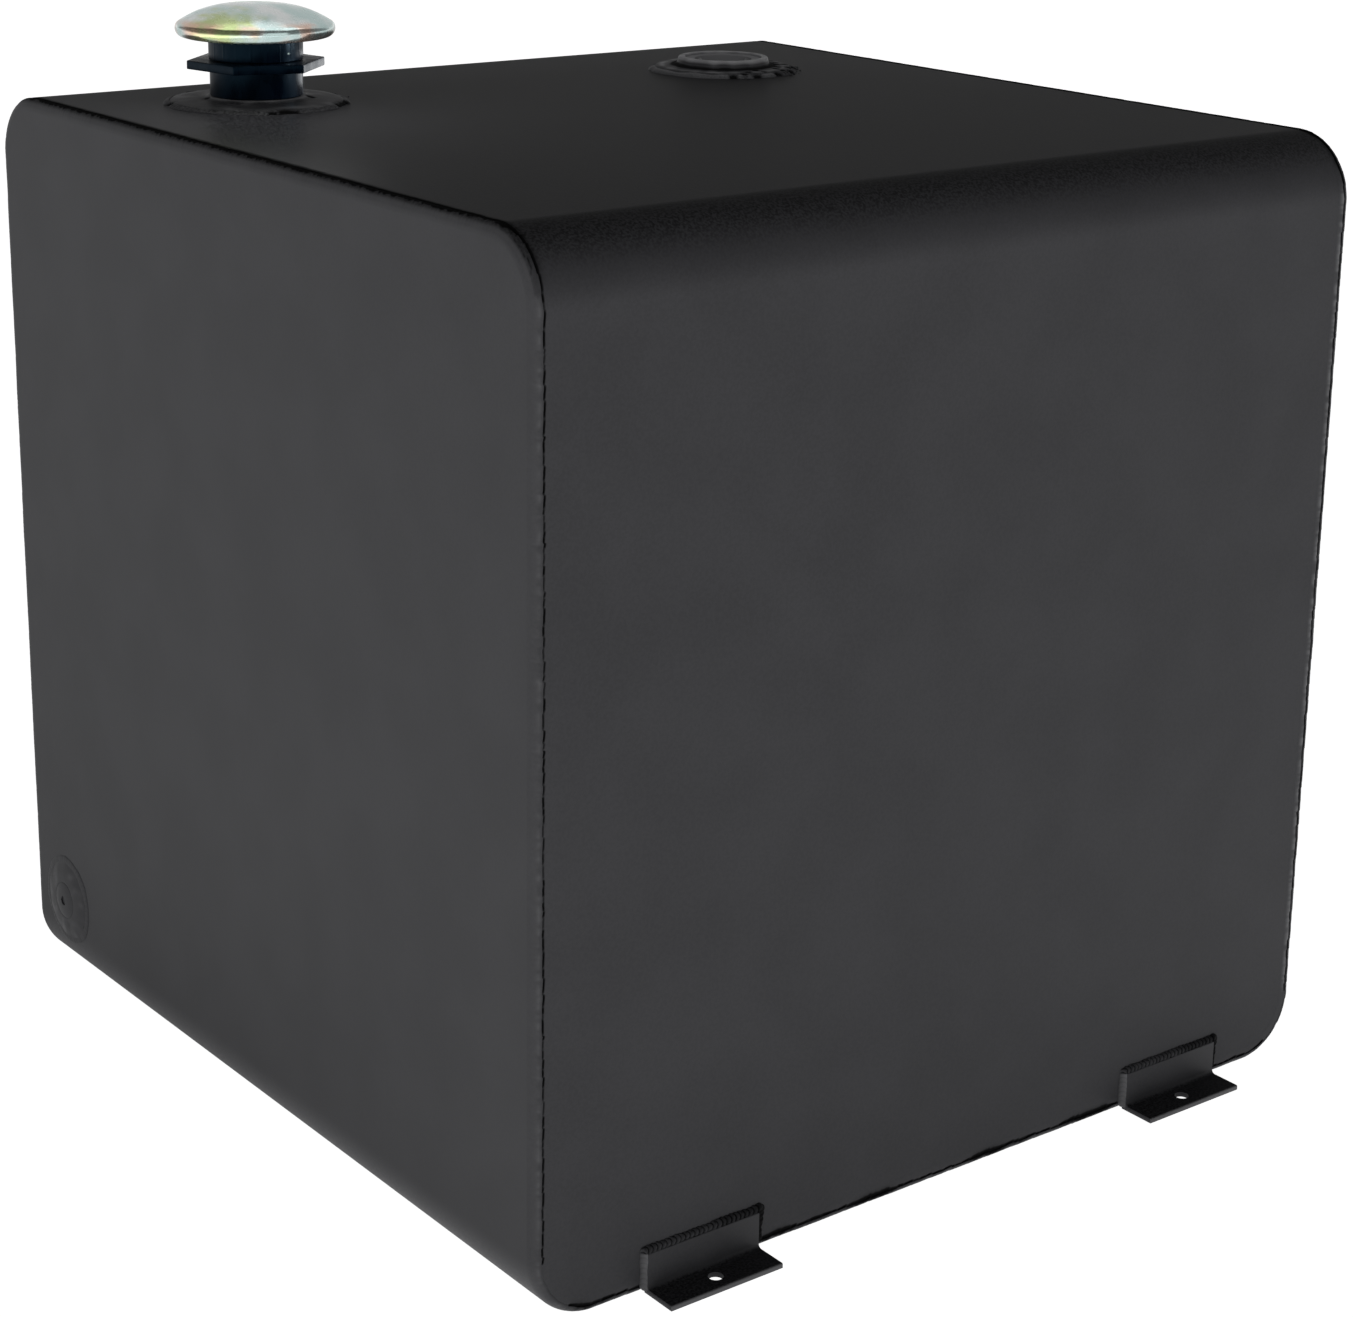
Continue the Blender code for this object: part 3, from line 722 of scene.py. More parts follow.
def weld(stations, pitch, seed, stitch=0.5):
    """Rows and wear for a rippled fillet weld.

    Each station is its root point, the ways along its two faces, the reach on each, its run, and
    how pale or dark it is.
    """
    rows, wear = [], []
    for root, way_a, way_b, reach_a, reach_b, run, tone in stations:
        row, painted_light_and_rub = [], []
        loose = 1 + 0.16 * wave(run, seed, 9 * MM) + 0.08 * wave(run, seed + 1, 3 * MM)
        groove = stitch * (0.12 if tone > 0.3 else 1)
        for k in range(9):
            turn = math.pi / 2 * k / 8
            phase = (run - 0.5 * pitch * math.sin(2 * turn)) / pitch
            beat = abs(math.sin(math.pi * phase))
            swell = 1 - groove * 0.30 * (1 - beat**0.6)
            a = reach_a * loose * swell * math.cos(turn) ** 1.25
            b = reach_b * loose * swell * math.sin(turn) ** 1.25
            row.append(root + way_a * a + way_b * b)
            # Painted shade darkens the notches between ripples and the toes at the faces; a tone above 0.3
            # is a painted highlight that grows across the bead.
            notch = max(0, 1 - beat / 0.5) * groove
            toe = (0.2 + 1.1 * wave(run, seed + 2, 5 * MM)) if k in (0, 8) else 0
            shade = tone * (0.35 + 0.65 * k / 8) if tone > 0.3 else tone - min(1, max(0, toe)) * 0.9
            painted_light_and_rub.append(max(-1, min(1, shade - notch)))
        row.append(root - (way_a + way_b) * 0.4 * MM)
        painted_light_and_rub.append(0.0)
        rows.append(row)
        wear.append(painted_light_and_rub)
    return rows, wear


def pitting(spots, x, y):
    """How deep in a pit a place is, from 0 to 1. Each spot is an angle, a radius and a size in mm."""
    depth = 0
    for angle, radius, size in spots:
        across = (
            x - radius * math.cos(math.radians(angle)), y - radius * math.sin(math.radians(angle))
        )
        depth += math.exp(-((math.hypot(*across) / size) ** 3))
    return min(1, depth)


def ring_weld(name, node, centre, turn, radius, width, height, pitch, seed, spots=(), tone=None):
    """A weld bead round a flange that stands on a flat face. turn is the flange's own rotation.

    tone(angle) gives how pale or dark it is.
    """
    count = round(2 * math.pi * radius / (0.6 * MM))
    whole = round(2 * math.pi * radius / pitch)
    pitch = 2 * math.pi * radius / whole
    stations = []
    for k in range(count):
        angle = 2 * math.pi * k / count
        out = turn @ Vector((math.cos(angle), math.sin(angle), 0))
        up = turn @ Vector((0, 0, 1))
        reach = (radius + width * 0.5) / MM
        pit = pitting(spots, reach * math.cos(angle), reach * math.sin(angle))
        rough = 1 + 0.25 * noise.noise(Vector((math.cos(angle), math.sin(angle), seed)) * 3) - 0.6 * pit
        # Pits sink and are painted near black, as painted shade in them.
        shade = (0 if tone is None else tone(angle)) * (1 - pit) - 1.4 * pit
        root = centre + out * (radius - 0.1 * MM)
        stations.append((root, out, up, width * rough, height * rough, angle * radius, shade))
    rows, wear = weld(stations, pitch, seed, stitch=0.35)
    mesh = grid_mesh(name, rows, close_rows=True, wear=wear, sharp=60)
    return piece(link(name, mesh), "black_paint", "tank", node)


def spatter(name, centre, turn, inner, outer, count, seed, arc_from=0, arc_to=360):
    """Small drops of weld metal scattered on the face round a flange."""
    chance = random.Random(seed)
    shape = bmesh.new()
    up = turn @ Vector((0, 0, 1))
    for _ in range(count):
        angle = math.radians(chance.uniform(arc_from, arc_to))
        radius = inner + (outer - inner) * chance.random() ** 1.8
        size = chance.uniform(0.35, 1.1) * MM
        spot = centre + turn @ Vector((math.cos(angle) * radius, math.sin(angle) * radius, 0))
        drop = bmesh.ops.create_icosphere(shape, subdivisions=2, radius=size)["verts"]
        squash = Matrix.Diagonal((1, chance.uniform(0.7, 1), 0.6, 1))
        spin = Matrix.Rotation(chance.uniform(0, 6.28), 4, "Z")
        place = Matrix.Translation(spot + up * size * 0.25) @ turn.to_4x4() @ spin @ squash
        bmesh.ops.transform(shape, matrix=place, verts=drop)
    mesh = mesh_of(name, shape)
    mesh.shade_smooth()
    paint_light_and_wear(mesh, [0.3 - point.co.length % 0.01 * 110 for point in mesh.vertices])
    return piece(link(name, mesh), "black_paint", "tank")


# ---------------------------------------------------------------- brackets


LEG = 25.4 * MM
ANGLE_SHEET = 3.2 * MM
BRACKET_LENGTH = 80 * MM
ANGLE_ROOT = 3 * MM
BOLT_HOLE = 4.5 * MM
BOLT_OFFSET = 14 * MM
SOFT_END = 0.12 * MM


def angle_section():
    """The angle's section as (out from the wall, up): sharp heel, rolled toes and root."""
    root = (ANGLE_SHEET + ANGLE_ROOT) / MM
    leg, sheet = LEG / MM, ANGLE_SHEET / MM
    line = [
        (0, 0, 0.5),
        (leg, 0, 0.35),
        (leg, sheet, 1.0),
        (sheet, sheet, root - sheet),
        (sheet, leg, 1.0),
        (0, leg, 0.35),
    ]
    return [(p.x * MM, p.y * MM) for p in fillet(line, steps=5)]


def bracket(end, hand, seed):
    """One angle with softened edges and a drilled foot, and the weld round its upright leg."""
    node = f"tie_down_bracket_{end}_{hand}"
    low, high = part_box(node)
    middle = (low.x + high.x) / 2
    side = -1 if end == "front" else 1
    wall = side * HALF
    along = Vector((-side, 0, 0))
    out = Vector((0, side, 0))
    up = Vector((0, 0, 1))
    corner = Vector((middle, wall, 0))
    section = angle_section()
    rows = []
    ease = SOFT_END / BRACKET_LENGTH
    for run, shrink in (
        (-0.5, SOFT_END), (-0.5 + ease / 2, 0.3 * SOFT_END), (-0.5 + ease, 0),
        (0.5 - ease, 0), (0.5 - ease / 2, 0.3 * SOFT_END), (0.5, SOFT_END),
    ):
        row = []
        for k, (a, b) in enumerate(section):
            before, after = Vector(section[k - 1]), Vector(section[(k + 1) % len(section)])
            way = (after - before).normalized()
            a, b = a - way.y * shrink, b + way.x * shrink
            row.append(corner + along * run * BRACKET_LENGTH + out * a + up * b)
        rows.append(row)
    # A painted highlight along the foot's rolled outer edge.
    cut_edge = [0.4 if a > LEG - 0.7 * MM and b > 0.3 * MM else 0.0 for a, b in section]
    mesh = grid_mesh(node, rows, caps=True, wear=[cut_edge] * len(rows))
    obj = link(f"angle_bracket_{end}_{hand}", mesh)
    hole = corner + out * BOLT_OFFSET
    combine(obj, rod(BOLT_HOLE, hole - up * 5 * MM, hole + up * 10 * MM, 48), "DIFFERENCE")
    shade(obj.data, 40)
    piece(obj, "black_paint", "tank", node)

    rows, wear = weld(bracket_stations(corner, along, out, up), 3.3 * MM, seed, stitch=0.9)
    weld_mesh = grid_mesh(f"bracket_bead_{end}_{hand}", rows, caps=True, wear=wear, sharp=60)
    piece(link(weld_mesh.name, weld_mesh), "black_paint", "tank", f"bracket_weld_{end}_{hand}")


def bracket_stations(corner, along, out, up):
    """Stations of the weld up one end of the bracket's leg, over it and down the other end."""
    step = 0.45 * MM
    left_end = corner - along * BRACKET_LENGTH / 2
    right_end = corner + along * BRACKET_LENGTH / 2
    path = []
    start = 2.2 * MM
    count = round((LEG - start) / step)
    for k in range(count):
        height = start + (LEG - start) * k / count
        width = 3.8 * MM * min(1, 0.5 + k / 12)
        # The left end's weld is pale: a painted highlight.
        path.append((left_end + up * height, -along, width, 3.1 * MM, 0.46))
    for k in range(8):
        turn = math.pi / 2 * k / 8
        way = up * math.sin(turn) - along * math.cos(turn)
        # Over the corner the painted highlight fades into painted shade.
        path.append((left_end + up * LEG, way, 3.8 * MM, 3.2 * MM, 0.4 - 0.6 * k / 8))
    count = round(BRACKET_LENGTH / step)
    for k in range(count + 1):
        place = left_end + along * BRACKET_LENGTH * k / count + up * LEG
        # Across the top, painted shade deepens towards the right end, with random blotches.
        dark = 0.10 + 0.50 * (k / count) ** 2 + 0.25 * wave(k * step, 5, 7 * MM)
        path.append((place, up, 4.0 * MM, 3.2 * MM, -dark))
    # The right end's weld is near black: painted shade in its crevice.
    for k in range(1, 9):
        turn = math.pi / 2 * k / 8
        way = up * math.cos(turn) + along * math.sin(turn)
        path.append((right_end + up * LEG, way, (3.9 + 0.3 * k) * MM, 3.0 * MM, -0.7))
    count = round(20 * MM / step)
    for k in range(count):
        fade = 1 - k / count
        width = (4.6 + 1.8 * fade + 0.8 * wave(k * step, 9, 3 * MM)) * MM
        path.append((right_end + up * (LEG - step * (k + 1)), along, width, 1.5 * MM, -0.95))
    return [
        (root, way, out, reach_a, reach_b, k * step, tone)
        for k, (root, way, reach_a, reach_b, tone) in enumerate(path)
    ]


# ---------------------------------------------------------------- filler


# The collar's corner radius, its height, the height of its middle, and its turn in degrees
COLLAR_CORNER = 44.3 * MM
COLLAR_HEIGHT = 5.5 * MM
COLLAR_MIDDLE = 25.25 * MM
COLLAR_TURN = 12

# Pits as an angle in degrees, a radius in mm and a size in mm
FILLER_PITS = (
    (166, 57, 3.0), (-176, 60, 2.0), (-110, 57, 2.4), (-102, 57, 4.4), (-96, 58, 3.4),
    (-54, 57, 3.2), (-47, 58, 4.4), (-40, 57, 2.6), (-36, 34, 3.0), (170, 33, 1.8),
)


def filler_surface(angle, r, z):
    """A painted highlight on the lip near the neck, a patchy painted lightening further out, and
    the weld's pits with painted shade.
    """
    x, y = r * math.cos(angle), r * math.sin(angle)
    patch = noise.noise(Vector((x, y, 0)) / 11)
    # A painted highlight on the lip by the neck, and a patchy painted lightening of the raised face.
    lip = math.exp(-(((r - 29.5) / 2.6) ** 2)) if z > 2 else 0
    pit = pitting(FILLER_PITS, x, y)
    pale = 1.0 * lip + (0.12 + 0.30 * patch) * min(1, max(0, (z - 0.5) / 1.5))
    # The pits sink and are painted near black, as painted shade in them.
    return r, z - 0.8 * pit * min(1, max(0, z - 1)), max(-1, pale * (1 - pit) - 1.4 * pit)


def make_filler():
    """The stamped flange, the neck with its hexagonal collar, and their weld."""
    upright = Matrix.Identity(3)
    flange = fillet([
        (31.2, 5.2, 0.8), (32.5, 4.6, 1.6), (36.0, 3.6, 2.0), (39.0, 3.4, 1.0),
        (42.0, 3.3, 1.0), (46.0, 3.1, 1.0), (50.0, 2.9, 1.0), (54.9, 2.4, 1.2),
        (55.0, 0.3, 0.1), (27.7, 0.3, 0.2), (27.7, -8.0, 0.4), (24.5, -8.0, 0.4),
        (24.5, 5.2, 0.5),
    ])
    mesh = turned("weld_flange", flange, FILLER, steps=256, warp=filler_surface)
    piece(link("weld_flange", mesh), "black_paint", "tank", "filler_flange")
    ring_weld(
        "flange_bead", "filler_flange_weld", FILLER, upright, radius=55 * MM, width=4.2 * MM,
        height=2.3 * MM, pitch=3.4 * MM, seed=41, spots=FILLER_PITS,
        tone=lambda angle: 0.06 + 0.16 * math.sin(3 * angle + 1),
    )
    spatter(
        "flange_spatter", FILLER, upright, inner=40 * MM, outer=64 * MM, count=26, seed=5,
        arc_from=-170, arc_to=20,
    )

    neck = fillet([
        (22.0, 37.0, 0.4), (25.8, 37.0, 0.5), (25.8, 24.5, 0.3), (29.4, 24.5, 0.6),
        (29.4, 5.5, 0.5), (24.2, 5.5, 0.2), (24.2, -14.0, 0.6), (20.2, -14.0, 0.3),
        (20.2, 0.0, 0.2), (22.0, 0.0, 0.2),
    ])
    neck_obj = link("filler_neck", turned("filler_neck", neck, FILLER, steps=96))
    shape = bmesh.new()
    bmesh.ops.create_cone(
        shape, cap_ends=True, segments=6, radius1=COLLAR_CORNER, radius2=COLLAR_CORNER, depth=COLLAR_HEIGHT
    )
    bmesh.ops.bevel(
        shape, geom=shape.edges[:], offset=0.7 * MM, segments=3, profile=0.6, affect="EDGES"
    )
    bore = rod(24.5 * MM, FILLER, FILLER + Vector((0, 0, 50 * MM)), 96)
    turn = Matrix.Rotation(math.radians(COLLAR_TURN), 4, "Z")
    shape.transform(Matrix.Translation(FILLER + Vector((0, 0, COLLAR_MIDDLE))) @ turn)
    collar = link("collar", mesh_of("collar", shape))
    combine(collar, bore, "DIFFERENCE")
    combine(neck_obj, collar, "UNION")
    shade(neck_obj.data, 32)
    piece(neck_obj, "black_nylon", "tank", "filler_adapter")


# The pin in the skirt's side: its radius, how far out and up it is, and where round the skirt
PIN_RADIUS = 1.3 * MM
PIN_OUT = 29.4 * MM
PIN_UP = 33.5 * MM
PIN_TURN = -76


def dome_line():
    """The cap's outer line from its top to under its rolled rim, as (radius, height) in mm."""
    rim, roll, rim_z = 50.4, 5.2, 47.6
    edge = 47.4
    top, drop = 63.0, 12.8
    line = [Vector((edge * k / 26, top - drop * (edge * k / 26 / rim) ** 2.8)) for k in range(27)]
    for k in range(1, 21):
        angle = math.radians(58 - 172 * k / 20)
        line.append(Vector((rim - roll + roll * math.cos(angle), rim_z + roll * math.sin(angle))))
    return line


def make_pin():
    """The bright flattened head of the small pin in the skirt's side."""
    shape = bmesh.new()
    bmesh.ops.create_uvsphere(shape, u_segments=24, v_segments=12, radius=PIN_RADIUS)
    angle = math.radians(PIN_TURN)
    out = Vector((math.cos(angle), math.sin(angle), 0))
    place = Matrix.Translation(FILLER + out * PIN_OUT + Vector((0, 0, PIN_UP)))
    shape.transform(place @ Matrix.Rotation(angle, 4, "Z") @ Matrix.Diagonal((0.7, 1, 0.8, 1)))
    mesh = mesh_of("cap_pin", shape)
    mesh.shade_smooth()
    piece(link("cap_pin", mesh), "yellow_zinc", "filler_cap")


def make_cap():
    """The ribbed skirt, the cone under the dome, and the dome with its rolled rim."""
    skirt = fillet([
        (30.0, 40.5, 0.6), (30.0, 28.4, 0.5), (26.2, 28.4, 0.3), (26.2, 39.1, 0.3),
        (4.5, 39.1, 0.2), (4.5, 40.5, 0.2),
    ])

    def ribbed(angle, r, z):
        if r < 28.5:
            return r, z, 0
        rib = max(0, math.cos(angle * 20)) ** 12
        return r - 0.15 + 0.15 * rib, z, 0

    mesh = turned("cap_skirt", skirt, FILLER, steps=480, warp=ribbed)
    piece(link("cap_skirt", mesh), "black_nylon", "filler_cap", "filler_cap_skirt")
    make_pin()
    pan = [Vector(p) for p in ((9.0, 41.8), (29.5, 41.8), (31.0, 42.0), (38.0, 44.0), (44.6, 46.1))]
    pan += [Vector(p) for p in ((44.6, 45.1), (38.0, 43.0), (31.0, 41.0), (29.5, 40.8), (9.0, 40.8))]
    mesh = turned("cap_cone", pan, FILLER)
    piece(link("cap_cone", mesh), "yellow_zinc", "filler_cap", "filler_cap_pan")
    mesh = turned("cap_dome", thicken(dome_line(), thickness=0.9), FILLER, sharp=60)
    piece(link("cap_dome", mesh), "yellow_zinc", "filler_cap", "filler_cap_dome")


# ---------------------------------------------------------------- pump port and drain


PORT_PITS = (
    (-78, 50, 3.0), (-66, 47, 2.6), (-58, 51, 3.4), (-46, 46, 3.0), (-38, 50, 3.4), (-28, 44, 2.8),
    (-20, 51, 3.2), (-10, 48, 2.6), (-2, 52, 2.4), (8, 49, 3.0), (18, 51, 2.4), (-88, 44, 2.2),
    (-120, 50, 2.6), (-110, 47, 2.8), (-100, 51, 3.4), (-104, 42, 2.4), (-92, 39, 2.4),
    (-50, 39, 2.6), (-32, 38, 2.8), (-15, 40, 2.4), (-64, 41, 2.4), (0, 42, 2.2),
)


def port_surface(angle, r, z):
    """A painted highlight on the lip, painted shade in the step round it, a painted highlight on a ring
    further out, random patches, and pits with painted shade where the weld spattered.
    """
    x, y = r * math.cos(angle), r * math.sin(angle)
    patch = noise.noise(Vector((x, y, 3)) / 7)
    # lip and band are painted highlights, step is painted shade, and patch is random tone.
    lip = 0.75 if z > 8 and r > 26 else 0
    step = math.exp(-(((r - 34.5) / 2.4) ** 2)) if 2.5 < z < 5.5 else 0
    band = math.exp(-(((r - 43) / 2.5) ** 2)) if z > 2 else 0
    pit = pitting(PORT_PITS, x, y)
    pale = lip + 0.35 * band + 0.35 * patch - 1.2 * step
    # The pits sink and are painted near black, as painted shade in them.
    return r, z - 0.9 * pit * min(1, max(0, z - 1)), max(-1, pale * (1 - pit) - 1.4 * pit)


def make_pump_port():
    upright = Matrix.Identity(3)
    flange = fillet([
        (31.2, 9.4, 1.1), (32.2, 5.0, 1.6), (34.5, 3.9, 1.5), (37.0, 3.7, 1.0),
        (40.0, 3.5, 1.0), (43.0, 3.4, 1.0), (46.0, 3.2, 1.0), (48.0, 2.6, 0.9),
        (48.0, 0.3, 0.1), (27.7, 0.3, 0.2), (27.7, -8.0, 0.4), (24.5, -8.0, 0.4),
        (24.5, 4.5, 0.3), (26.8, 4.5, 0.2), (26.8, 9.5, 0.7),
    ])
    mesh = turned("port_flange", flange, PUMP, steps=256, warp=port_surface)
    piece(link("port_flange", mesh), "black_paint", "tank", "pump_flange")

    # The bead gets a painted highlight on its side towards the front left, and faint painted shade
    # elsewhere.
    def tone(angle):
        return 0.4 if math.cos(angle - math.radians(-150)) > 0.4 else -0.1

    ring_weld(
        "port_bead", "pump_flange_weld", PUMP, upright, radius=48 * MM, width=4.2 * MM,
        height=2.4 * MM, pitch=3.6 * MM, seed=53, spots=PORT_PITS, tone=tone,
    )
    spatter(
        "port_spatter", PUMP, upright, inner=34 * MM, outer=56 * MM, count=150, seed=8,
        arc_from=-122, arc_to=25,
    )
    plug = fillet([
        (0, 3.5, 0), (19.0, 3.5, 0.5), (20.0, 8.0, 0.5), (26.5, 8.0, 0.5),
        (26.5, 6.3, 0.2), (24.2, 6.3, 0.2), (24.2, -8.0, 0.6), (0, -8.0, 0),
    ], closed=False)
    # The plug's faces above 3 mm are painted paler, as a painted highlight.
    body = link(
        "port_plug",
        turned("port_plug", plug, PUMP, closed=False, warp=lambda angle, r, z: (r, z, 0.5 if z > 3 else 0)),
    )
    for side in (-1, 1):
        shape = bmesh.new()
        bmesh.ops.create_cube(shape, size=1)
        bmesh.ops.scale(shape, vec=(5 * MM, 10 * MM, 4.5 * MM), verts=shape.verts)
        bmesh.ops.bevel(shape, geom=shape.edges[:], offset=0.5 * MM, segments=3, affect="EDGES")
        turn = Matrix.Rotation(math.radians(-37), 4, "Z")
        shape.transform(turn @ Matrix.Translation((side * 17.5 * MM, 0, 0)))
        shape.transform(Matrix.Translation(PUMP + Vector((0, 0, 5.3 * MM))))
        mesh = mesh_of("lug", shape)
        # The lugs are painted near black, as painted shade.
        paint_light_and_wear(mesh, [-0.9] * len(mesh.vertices))
        combine(body, link("lug", mesh), "UNION")
    shade(body.data, 35)
    piece(body, "black_paint", "pump_plug_body", "pump_plug")


def stand_sideways(mesh):
    """Turns a mesh that was turned about +Z at the drain so that its +Z points to -X."""
    turn = Matrix.Rotation(-math.pi / 2, 4, "Y")
    mesh.transform(Matrix.Translation(DRAIN) @ turn @ Matrix.Translation(-DRAIN))
    return mesh


def drain_surface(angle, r, z):
    """Faint rubbed and dull patches on the drain's boss."""
    patch = noise.noise(Vector((math.cos(angle) * r, math.sin(angle) * r, 8)) / 8)
    return r, z + 0.25 * patch * min(1, max(0, z)), 0.40 * patch if z > 0.5 else 0


def make_drain():
    """A low boss that its weld blends into the sheet, and the painted-over plug."""
    sideways = Matrix.Rotation(-math.pi / 2, 3, "Y")
    flange = fillet([
        (17.0, 2.6, 2.0), (21.5, 2.0, 3.0), (26.0, 0.9, 2.0), (27.0, 0.7, 0.3),
        (27.0, 0.3, 0.1), (13.7, 0.3, 0.2), (13.7, -6.0, 0.4), (9.7, -6.0, 0.4),
        (9.7, 1.0, 0.2), (12.7, 1.0, 0.2), (12.7, 2.9, 0.25),
    ])
    mesh = stand_sideways(turned("drain_boss", flange, DRAIN, steps=192, warp=drain_surface))
    piece(link("drain_boss", mesh), "black_paint", "tank", "drain_flange")
    # The bead gets a faint painted highlight on one side and faint painted shade on the other.
    ring_weld(
        "drain_bead", "drain_flange_weld", DRAIN, sideways, radius=26.4 * MM, width=5.0 * MM,
        height=0.8 * MM, pitch=3.2 * MM, seed=61, tone=lambda angle: 0.08 * math.sin(angle + 2.4),
    )
    plug = fillet([
        (0, 4.0, 0), (7.0, 3.8, 2.0), (12.65, 2.9, 0.2), (12.65, 2.4, 0.3),
        (9.4, 2.4, 0.2), (9.4, -6.0, 0.5), (0, -6.0, 0),
    ], closed=False)
    body = link("drain_screw", turned("drain_screw", plug, DRAIN, closed=False))
    socket_end = DRAIN + Vector((0, 0, 3.0 * MM))
    combine(body, rod(3.4 * MM, socket_end, DRAIN + Vector((0, 0, 9 * MM)), 6), "DIFFERENCE")
    stand_sideways(body.data)
    shade(body.data, 35)
    piece(body, "black_paint", "drain_plug_body", "drain_plug")


# ---------------------------------------------------------------- stage


def area_light(name, place, turn, size, radiance, only=()):
    """A soft box, as bright as radiance. only lists the pieces that it lights, or none for all."""
    data = bpy.data.lights.new(name, "AREA")
    data.shape = "RECTANGLE"
    data.size, data.size_y = size
    data.energy = radiance * math.pi * size[0] * size[1]
    light = bpy.data.objects.new(name, data)
    bpy.context.scene.collection.objects.link(light)
    light.location = place
    light.rotation_euler = turn
    light.visible_camera = False
    if only:
        group = bpy.data.collections.new(f"{name}_lights")
        for item in only:
            group.objects.link(item)
        light.light_linking.receiver_collection = group
    return light


def facing(place, target):
    return (Vector(place) - Vector(target)).to_track_quat("Z", "Y").to_euler()


def pieces(*names):
    return [bpy.data.objects[name] for name in names]


def view_ways():
    """The camera's azimuth in radians, and its level ways to the right and straight away."""
    azimuth = math.radians(CAMERA_AZIMUTH)
    right = Vector((math.cos(azimuth), math.sin(azimuth), 0))
    away = Vector((-math.sin(azimuth), math.cos(azimuth), 0))
    return azimuth, right, away


def light_box():
    """A weak low key from the left."""
    place = (-2.6, -1.0, 0.45)
    area_light("key", place, facing(place, (-0.3, 0, 0.3)), (1.0, 1.2), 0.15)


def light_cap(azimuth, right, away):
    """Large panels that the bright cap mirrors: over it, behind it, under its rim and in front."""
    cap = pieces("cap_dome", "cap_cone", "cap_pin")
    centre = FILLER + Vector((0, 0, 50 * MM))
    place = centre + away * 0.25 + right * 0.12 + Vector((0, 0, 1.6))
    area_light("cap_overhead", place, (0, 0, azimuth), (1.9, 1.0), 1.15, cap)
    place = centre + away * 2.3 + Vector((0, 0, 1.7))
    area_light("cap_back", place, facing(place, centre), (6.0, 3.8), 0.42, cap)
    place = FILLER - away * 0.29 + Vector((0, 0, 8)) * MM
    area_light("cap_bounce", place, (math.pi, 0, azimuth), (0.60, 0.50), 0.80, cap)
    place = centre - away * 2.0 + right * 1.6 + Vector((0, 0, 0.9))
    area_light("cap_fill", place, facing(place, centre), (1.6, 1.2), 0.8, cap)


def light_neck(right, away):
    """A strip for the neck's upright highlight, and a small panel for the collar's right end."""
    neck = pieces("filler_neck", "cap_skirt")
    centre = FILLER + Vector((0, 0, 50 * MM))
    place = centre + right * 1.0 + away * 0.15 + Vector((0, 0, 0.12))
    area_light("neck_strip", place, facing(place, centre), (0.25, 0.7), 14.0, neck)
    place = FILLER + Vector((100, 2, 8)) * MM
    target = FILLER + Vector((26, -28, 25)) * MM
    area_light("collar_end", place, facing(place, target), (0.06, 0.03), 2.2, neck)


def light_flanges(azimuth, away):
    """Panels over the two flanges with their painted highlights, and one for the sheet that the neck keeps
    dark.
    """
    filler = pieces("weld_flange", "flange_bead", "flange_spatter")
    place = FILLER + Vector((0, 0, 1.1))
    area_light("filler_fill", place, (0, 0, azimuth), (1.6, 1.6), 0.9, filler)
    port = pieces("port_flange", "port_bead", "port_spatter", "port_plug")
    place = PUMP + Vector((0, 0, 1.1)) - away * 0.4
    area_light("port_fill", place, facing(place, PUMP), (1.6, 1.6), 0.55, port)
    place = FILLER - away * 0.085 + Vector((0, 0, 0.10))
    area_light("sheet_fill", place, (0, 0, azimuth), (0.14, 0.04), 3.6, pieces("upper_sheet"))


def make_lights():
    azimuth, right, away = view_ways()
    light_box()
    light_cap(azimuth, right, away)
    light_neck(right, away)
    light_flanges(azimuth, away)


def make_floor():
    """A white light table. It looks evenly white, but lights the box less from some sides.

    It is dimmer close to the box, behind it and far to its right, to even out what its walls mirror.
    """
    shape = bmesh.new()
    bmesh.ops.create_circle(shape, cap_ends=True, segments=96, radius=60)
    floor = link("floor", mesh_of("floor", shape))
    floor.location.z = -0.2 * MM
    glow = Finish("pale_floor", Roughness=0.9, Specular_IOR_Level=0.0)
    glow.shader.inputs["Emission Color"].default_value = (1, 1, 1, 1)
    tint = glow.noise(400 * MM, 3)
    glow.colour(glow.blend(tint, (0.80, 0.80, 0.80), (0.84, 0.84, 0.84)))
    close = glow.span(glow.distance((0, 0, 0)), 0.36, 0.62, 0.66, 0.97)
    parts = glow.add("ShaderNodeSeparateXYZ")
    glow.join(glow.place, parts.inputs[0])
    along_x = glow.math("MULTIPLY", parts.outputs["X"], 0.88)
    along_y = glow.math("MULTIPLY", parts.outputs["Y"], 0.47)
    across = glow.span(glow.math("ADD", along_x, along_y), -0.8, 0.15)
    rear = glow.math("MULTIPLY", across, glow.span(parts.outputs["Y"], -0.5, 0.1))
    behind = glow.span(rear, 0.0, 1.0, 1.0, 0.55)
    far_right = glow.span(glow.distance((2.2, -1.4, 0)), 2.2, 0.6, 1.0, 0.80)
    light = glow.math("MULTIPLY", close, glow.math("MULTIPLY", behind, far_right))
    seen = glow.add("ShaderNodeLightPath").outputs["Is Camera Ray"]
    strength = glow.add("ShaderNodeMix")
    glow.join(seen, strength.inputs[0])
    glow.join(light, strength.inputs[2])
    strength.inputs[3].default_value = 1.0
    glow.join(strength.outputs[0], glow.shader.inputs["Emission Strength"])
    floor.data.materials.append(glow.material)


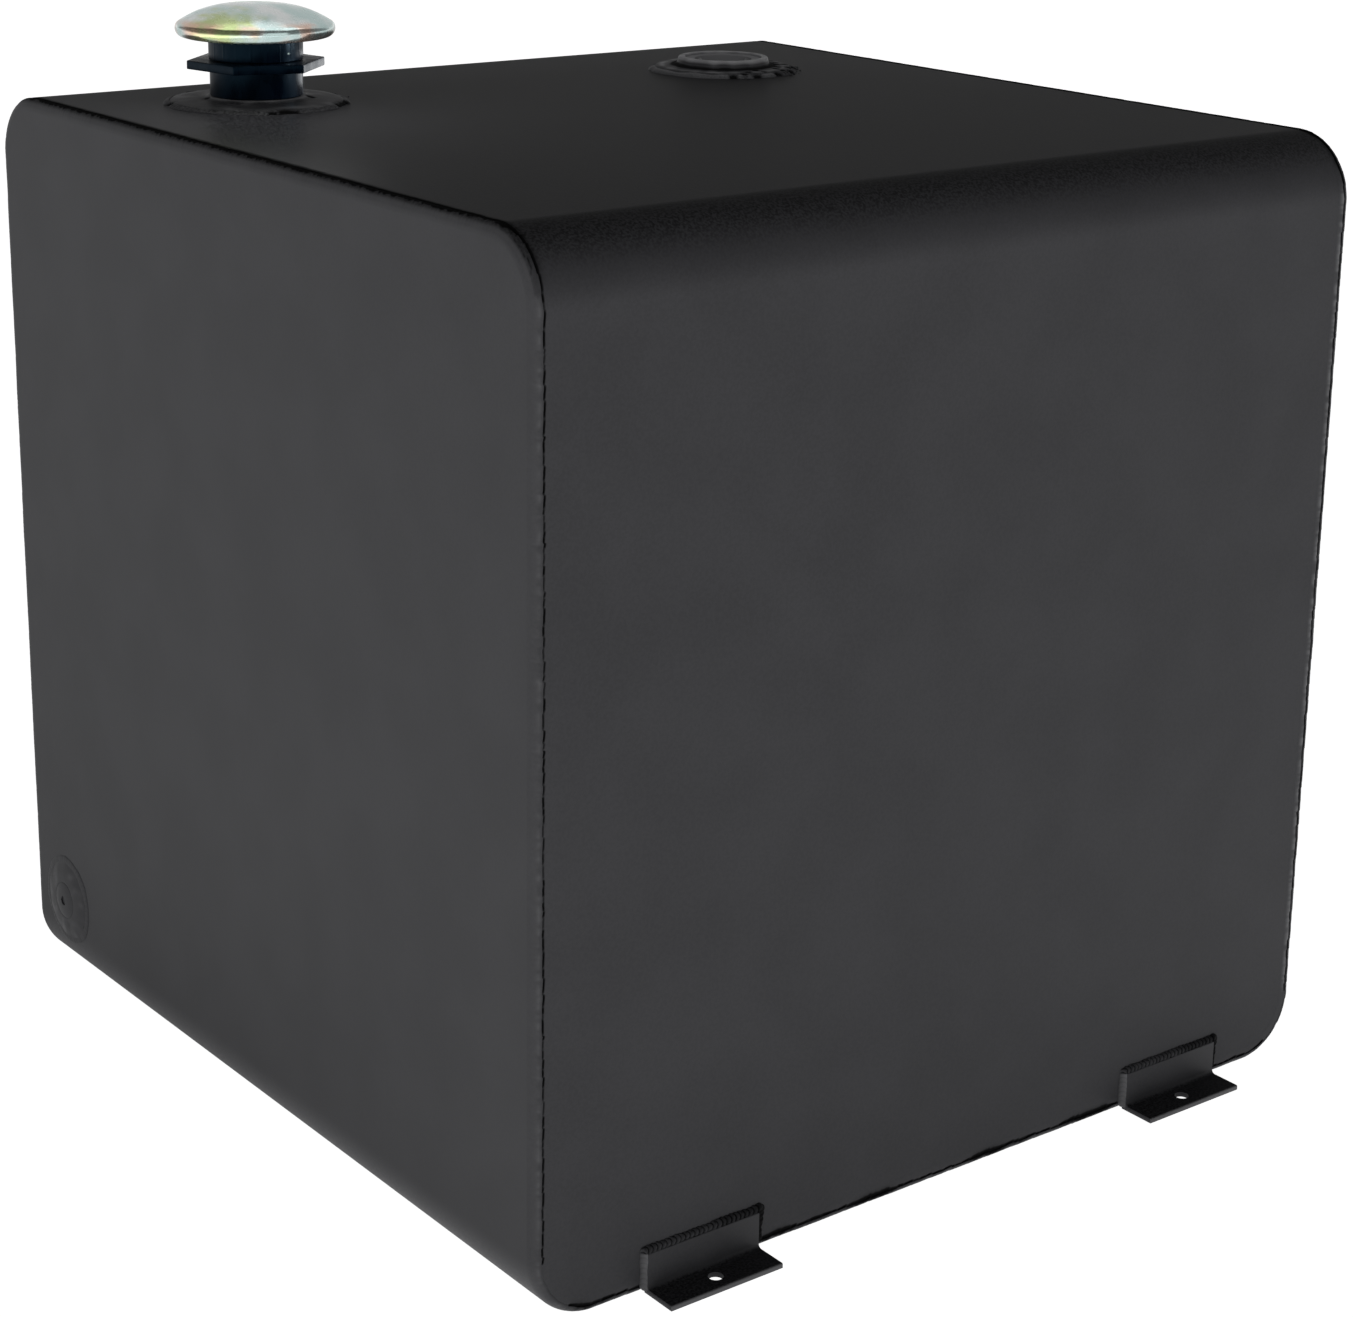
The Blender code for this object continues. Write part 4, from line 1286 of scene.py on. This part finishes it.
def make_world():
    """A studio that is bright low down and dark overhead."""
    world = bpy.data.worlds.new("studio")
    bpy.context.scene.world = world
    world.use_nodes = True
    nodes, links = world.node_tree.nodes, world.node_tree.links
    place = nodes.new("ShaderNodeTexCoord")
    parts = nodes.new("ShaderNodeSeparateXYZ")
    ramp = nodes.new("ShaderNodeValToRGB")
    links.new(place.outputs["Generated"], parts.inputs[0])
    links.new(parts.outputs["Z"], ramp.inputs["Fac"])
    stops = ((0.0, 0.92), (0.05, 0.68), (0.12, 0.20), (0.25, 0.12), (0.45, 0.11), (1.0, 0.07))
    while len(ramp.color_ramp.elements) < len(stops):
        ramp.color_ramp.elements.new(0.5)
    for element, (position, value) in zip(ramp.color_ramp.elements, stops):
        element.position = position
        element.color = (value, value, value, 1)
    links.new(ramp.outputs["Color"], nodes["Background"].inputs["Color"])


def make_camera():
    data = bpy.data.cameras.new("camera")
    data.lens = CAMERA_LENS
    data.sensor_width = 36
    data.shift_y = CAMERA_SHIFT
    data.clip_end = 200
    camera = bpy.data.objects.new("camera", data)
    bpy.context.scene.collection.objects.link(camera)
    azimuth, elevation, roll = (
        math.radians(a) for a in (CAMERA_AZIMUTH, CAMERA_ELEVATION, CAMERA_ROLL)
    )
    level_reach = math.cos(elevation)
    back = Vector(
        (math.sin(azimuth) * level_reach, -math.cos(azimuth) * level_reach, math.sin(elevation))
    )
    level = Vector((math.cos(azimuth), math.sin(azimuth), 0))
    upright = back.cross(level)
    right = level * math.cos(roll) + upright * math.sin(roll)
    up = upright * math.cos(roll) - level * math.sin(roll)
    turn = Matrix((right, up, back)).transposed().to_4x4()
    camera.matrix_world = Matrix.Translation(CAMERA_PLACE) @ turn
    bpy.context.scene.camera = camera


def paint_hidden_nodes():
    """Gives each CAD node that still shows the finish of its slot."""
    for row in frame["record"]["subparts"]:
        node = frame["nodes"][row["node"]]
        if not node.hide_render:
            node.data.materials.clear()
            node.data.materials.append(SLOTS[row["material_slot"]])
            node.data.set_sharp_from_angle(angle=math.radians(35))


make_camera()
make_sheets()
make_seams()
for seed, (end, hand) in enumerate((e, h) for e in ("front", "rear") for h in ("left", "right")):
    bracket(end, hand, 70 + 5 * seed)
make_filler()
make_cap()
make_pump_port()
make_drain()
paint_hidden_nodes()
make_floor()
make_world()
make_lights()
bpy.context.scene.view_settings.view_transform = "Standard"
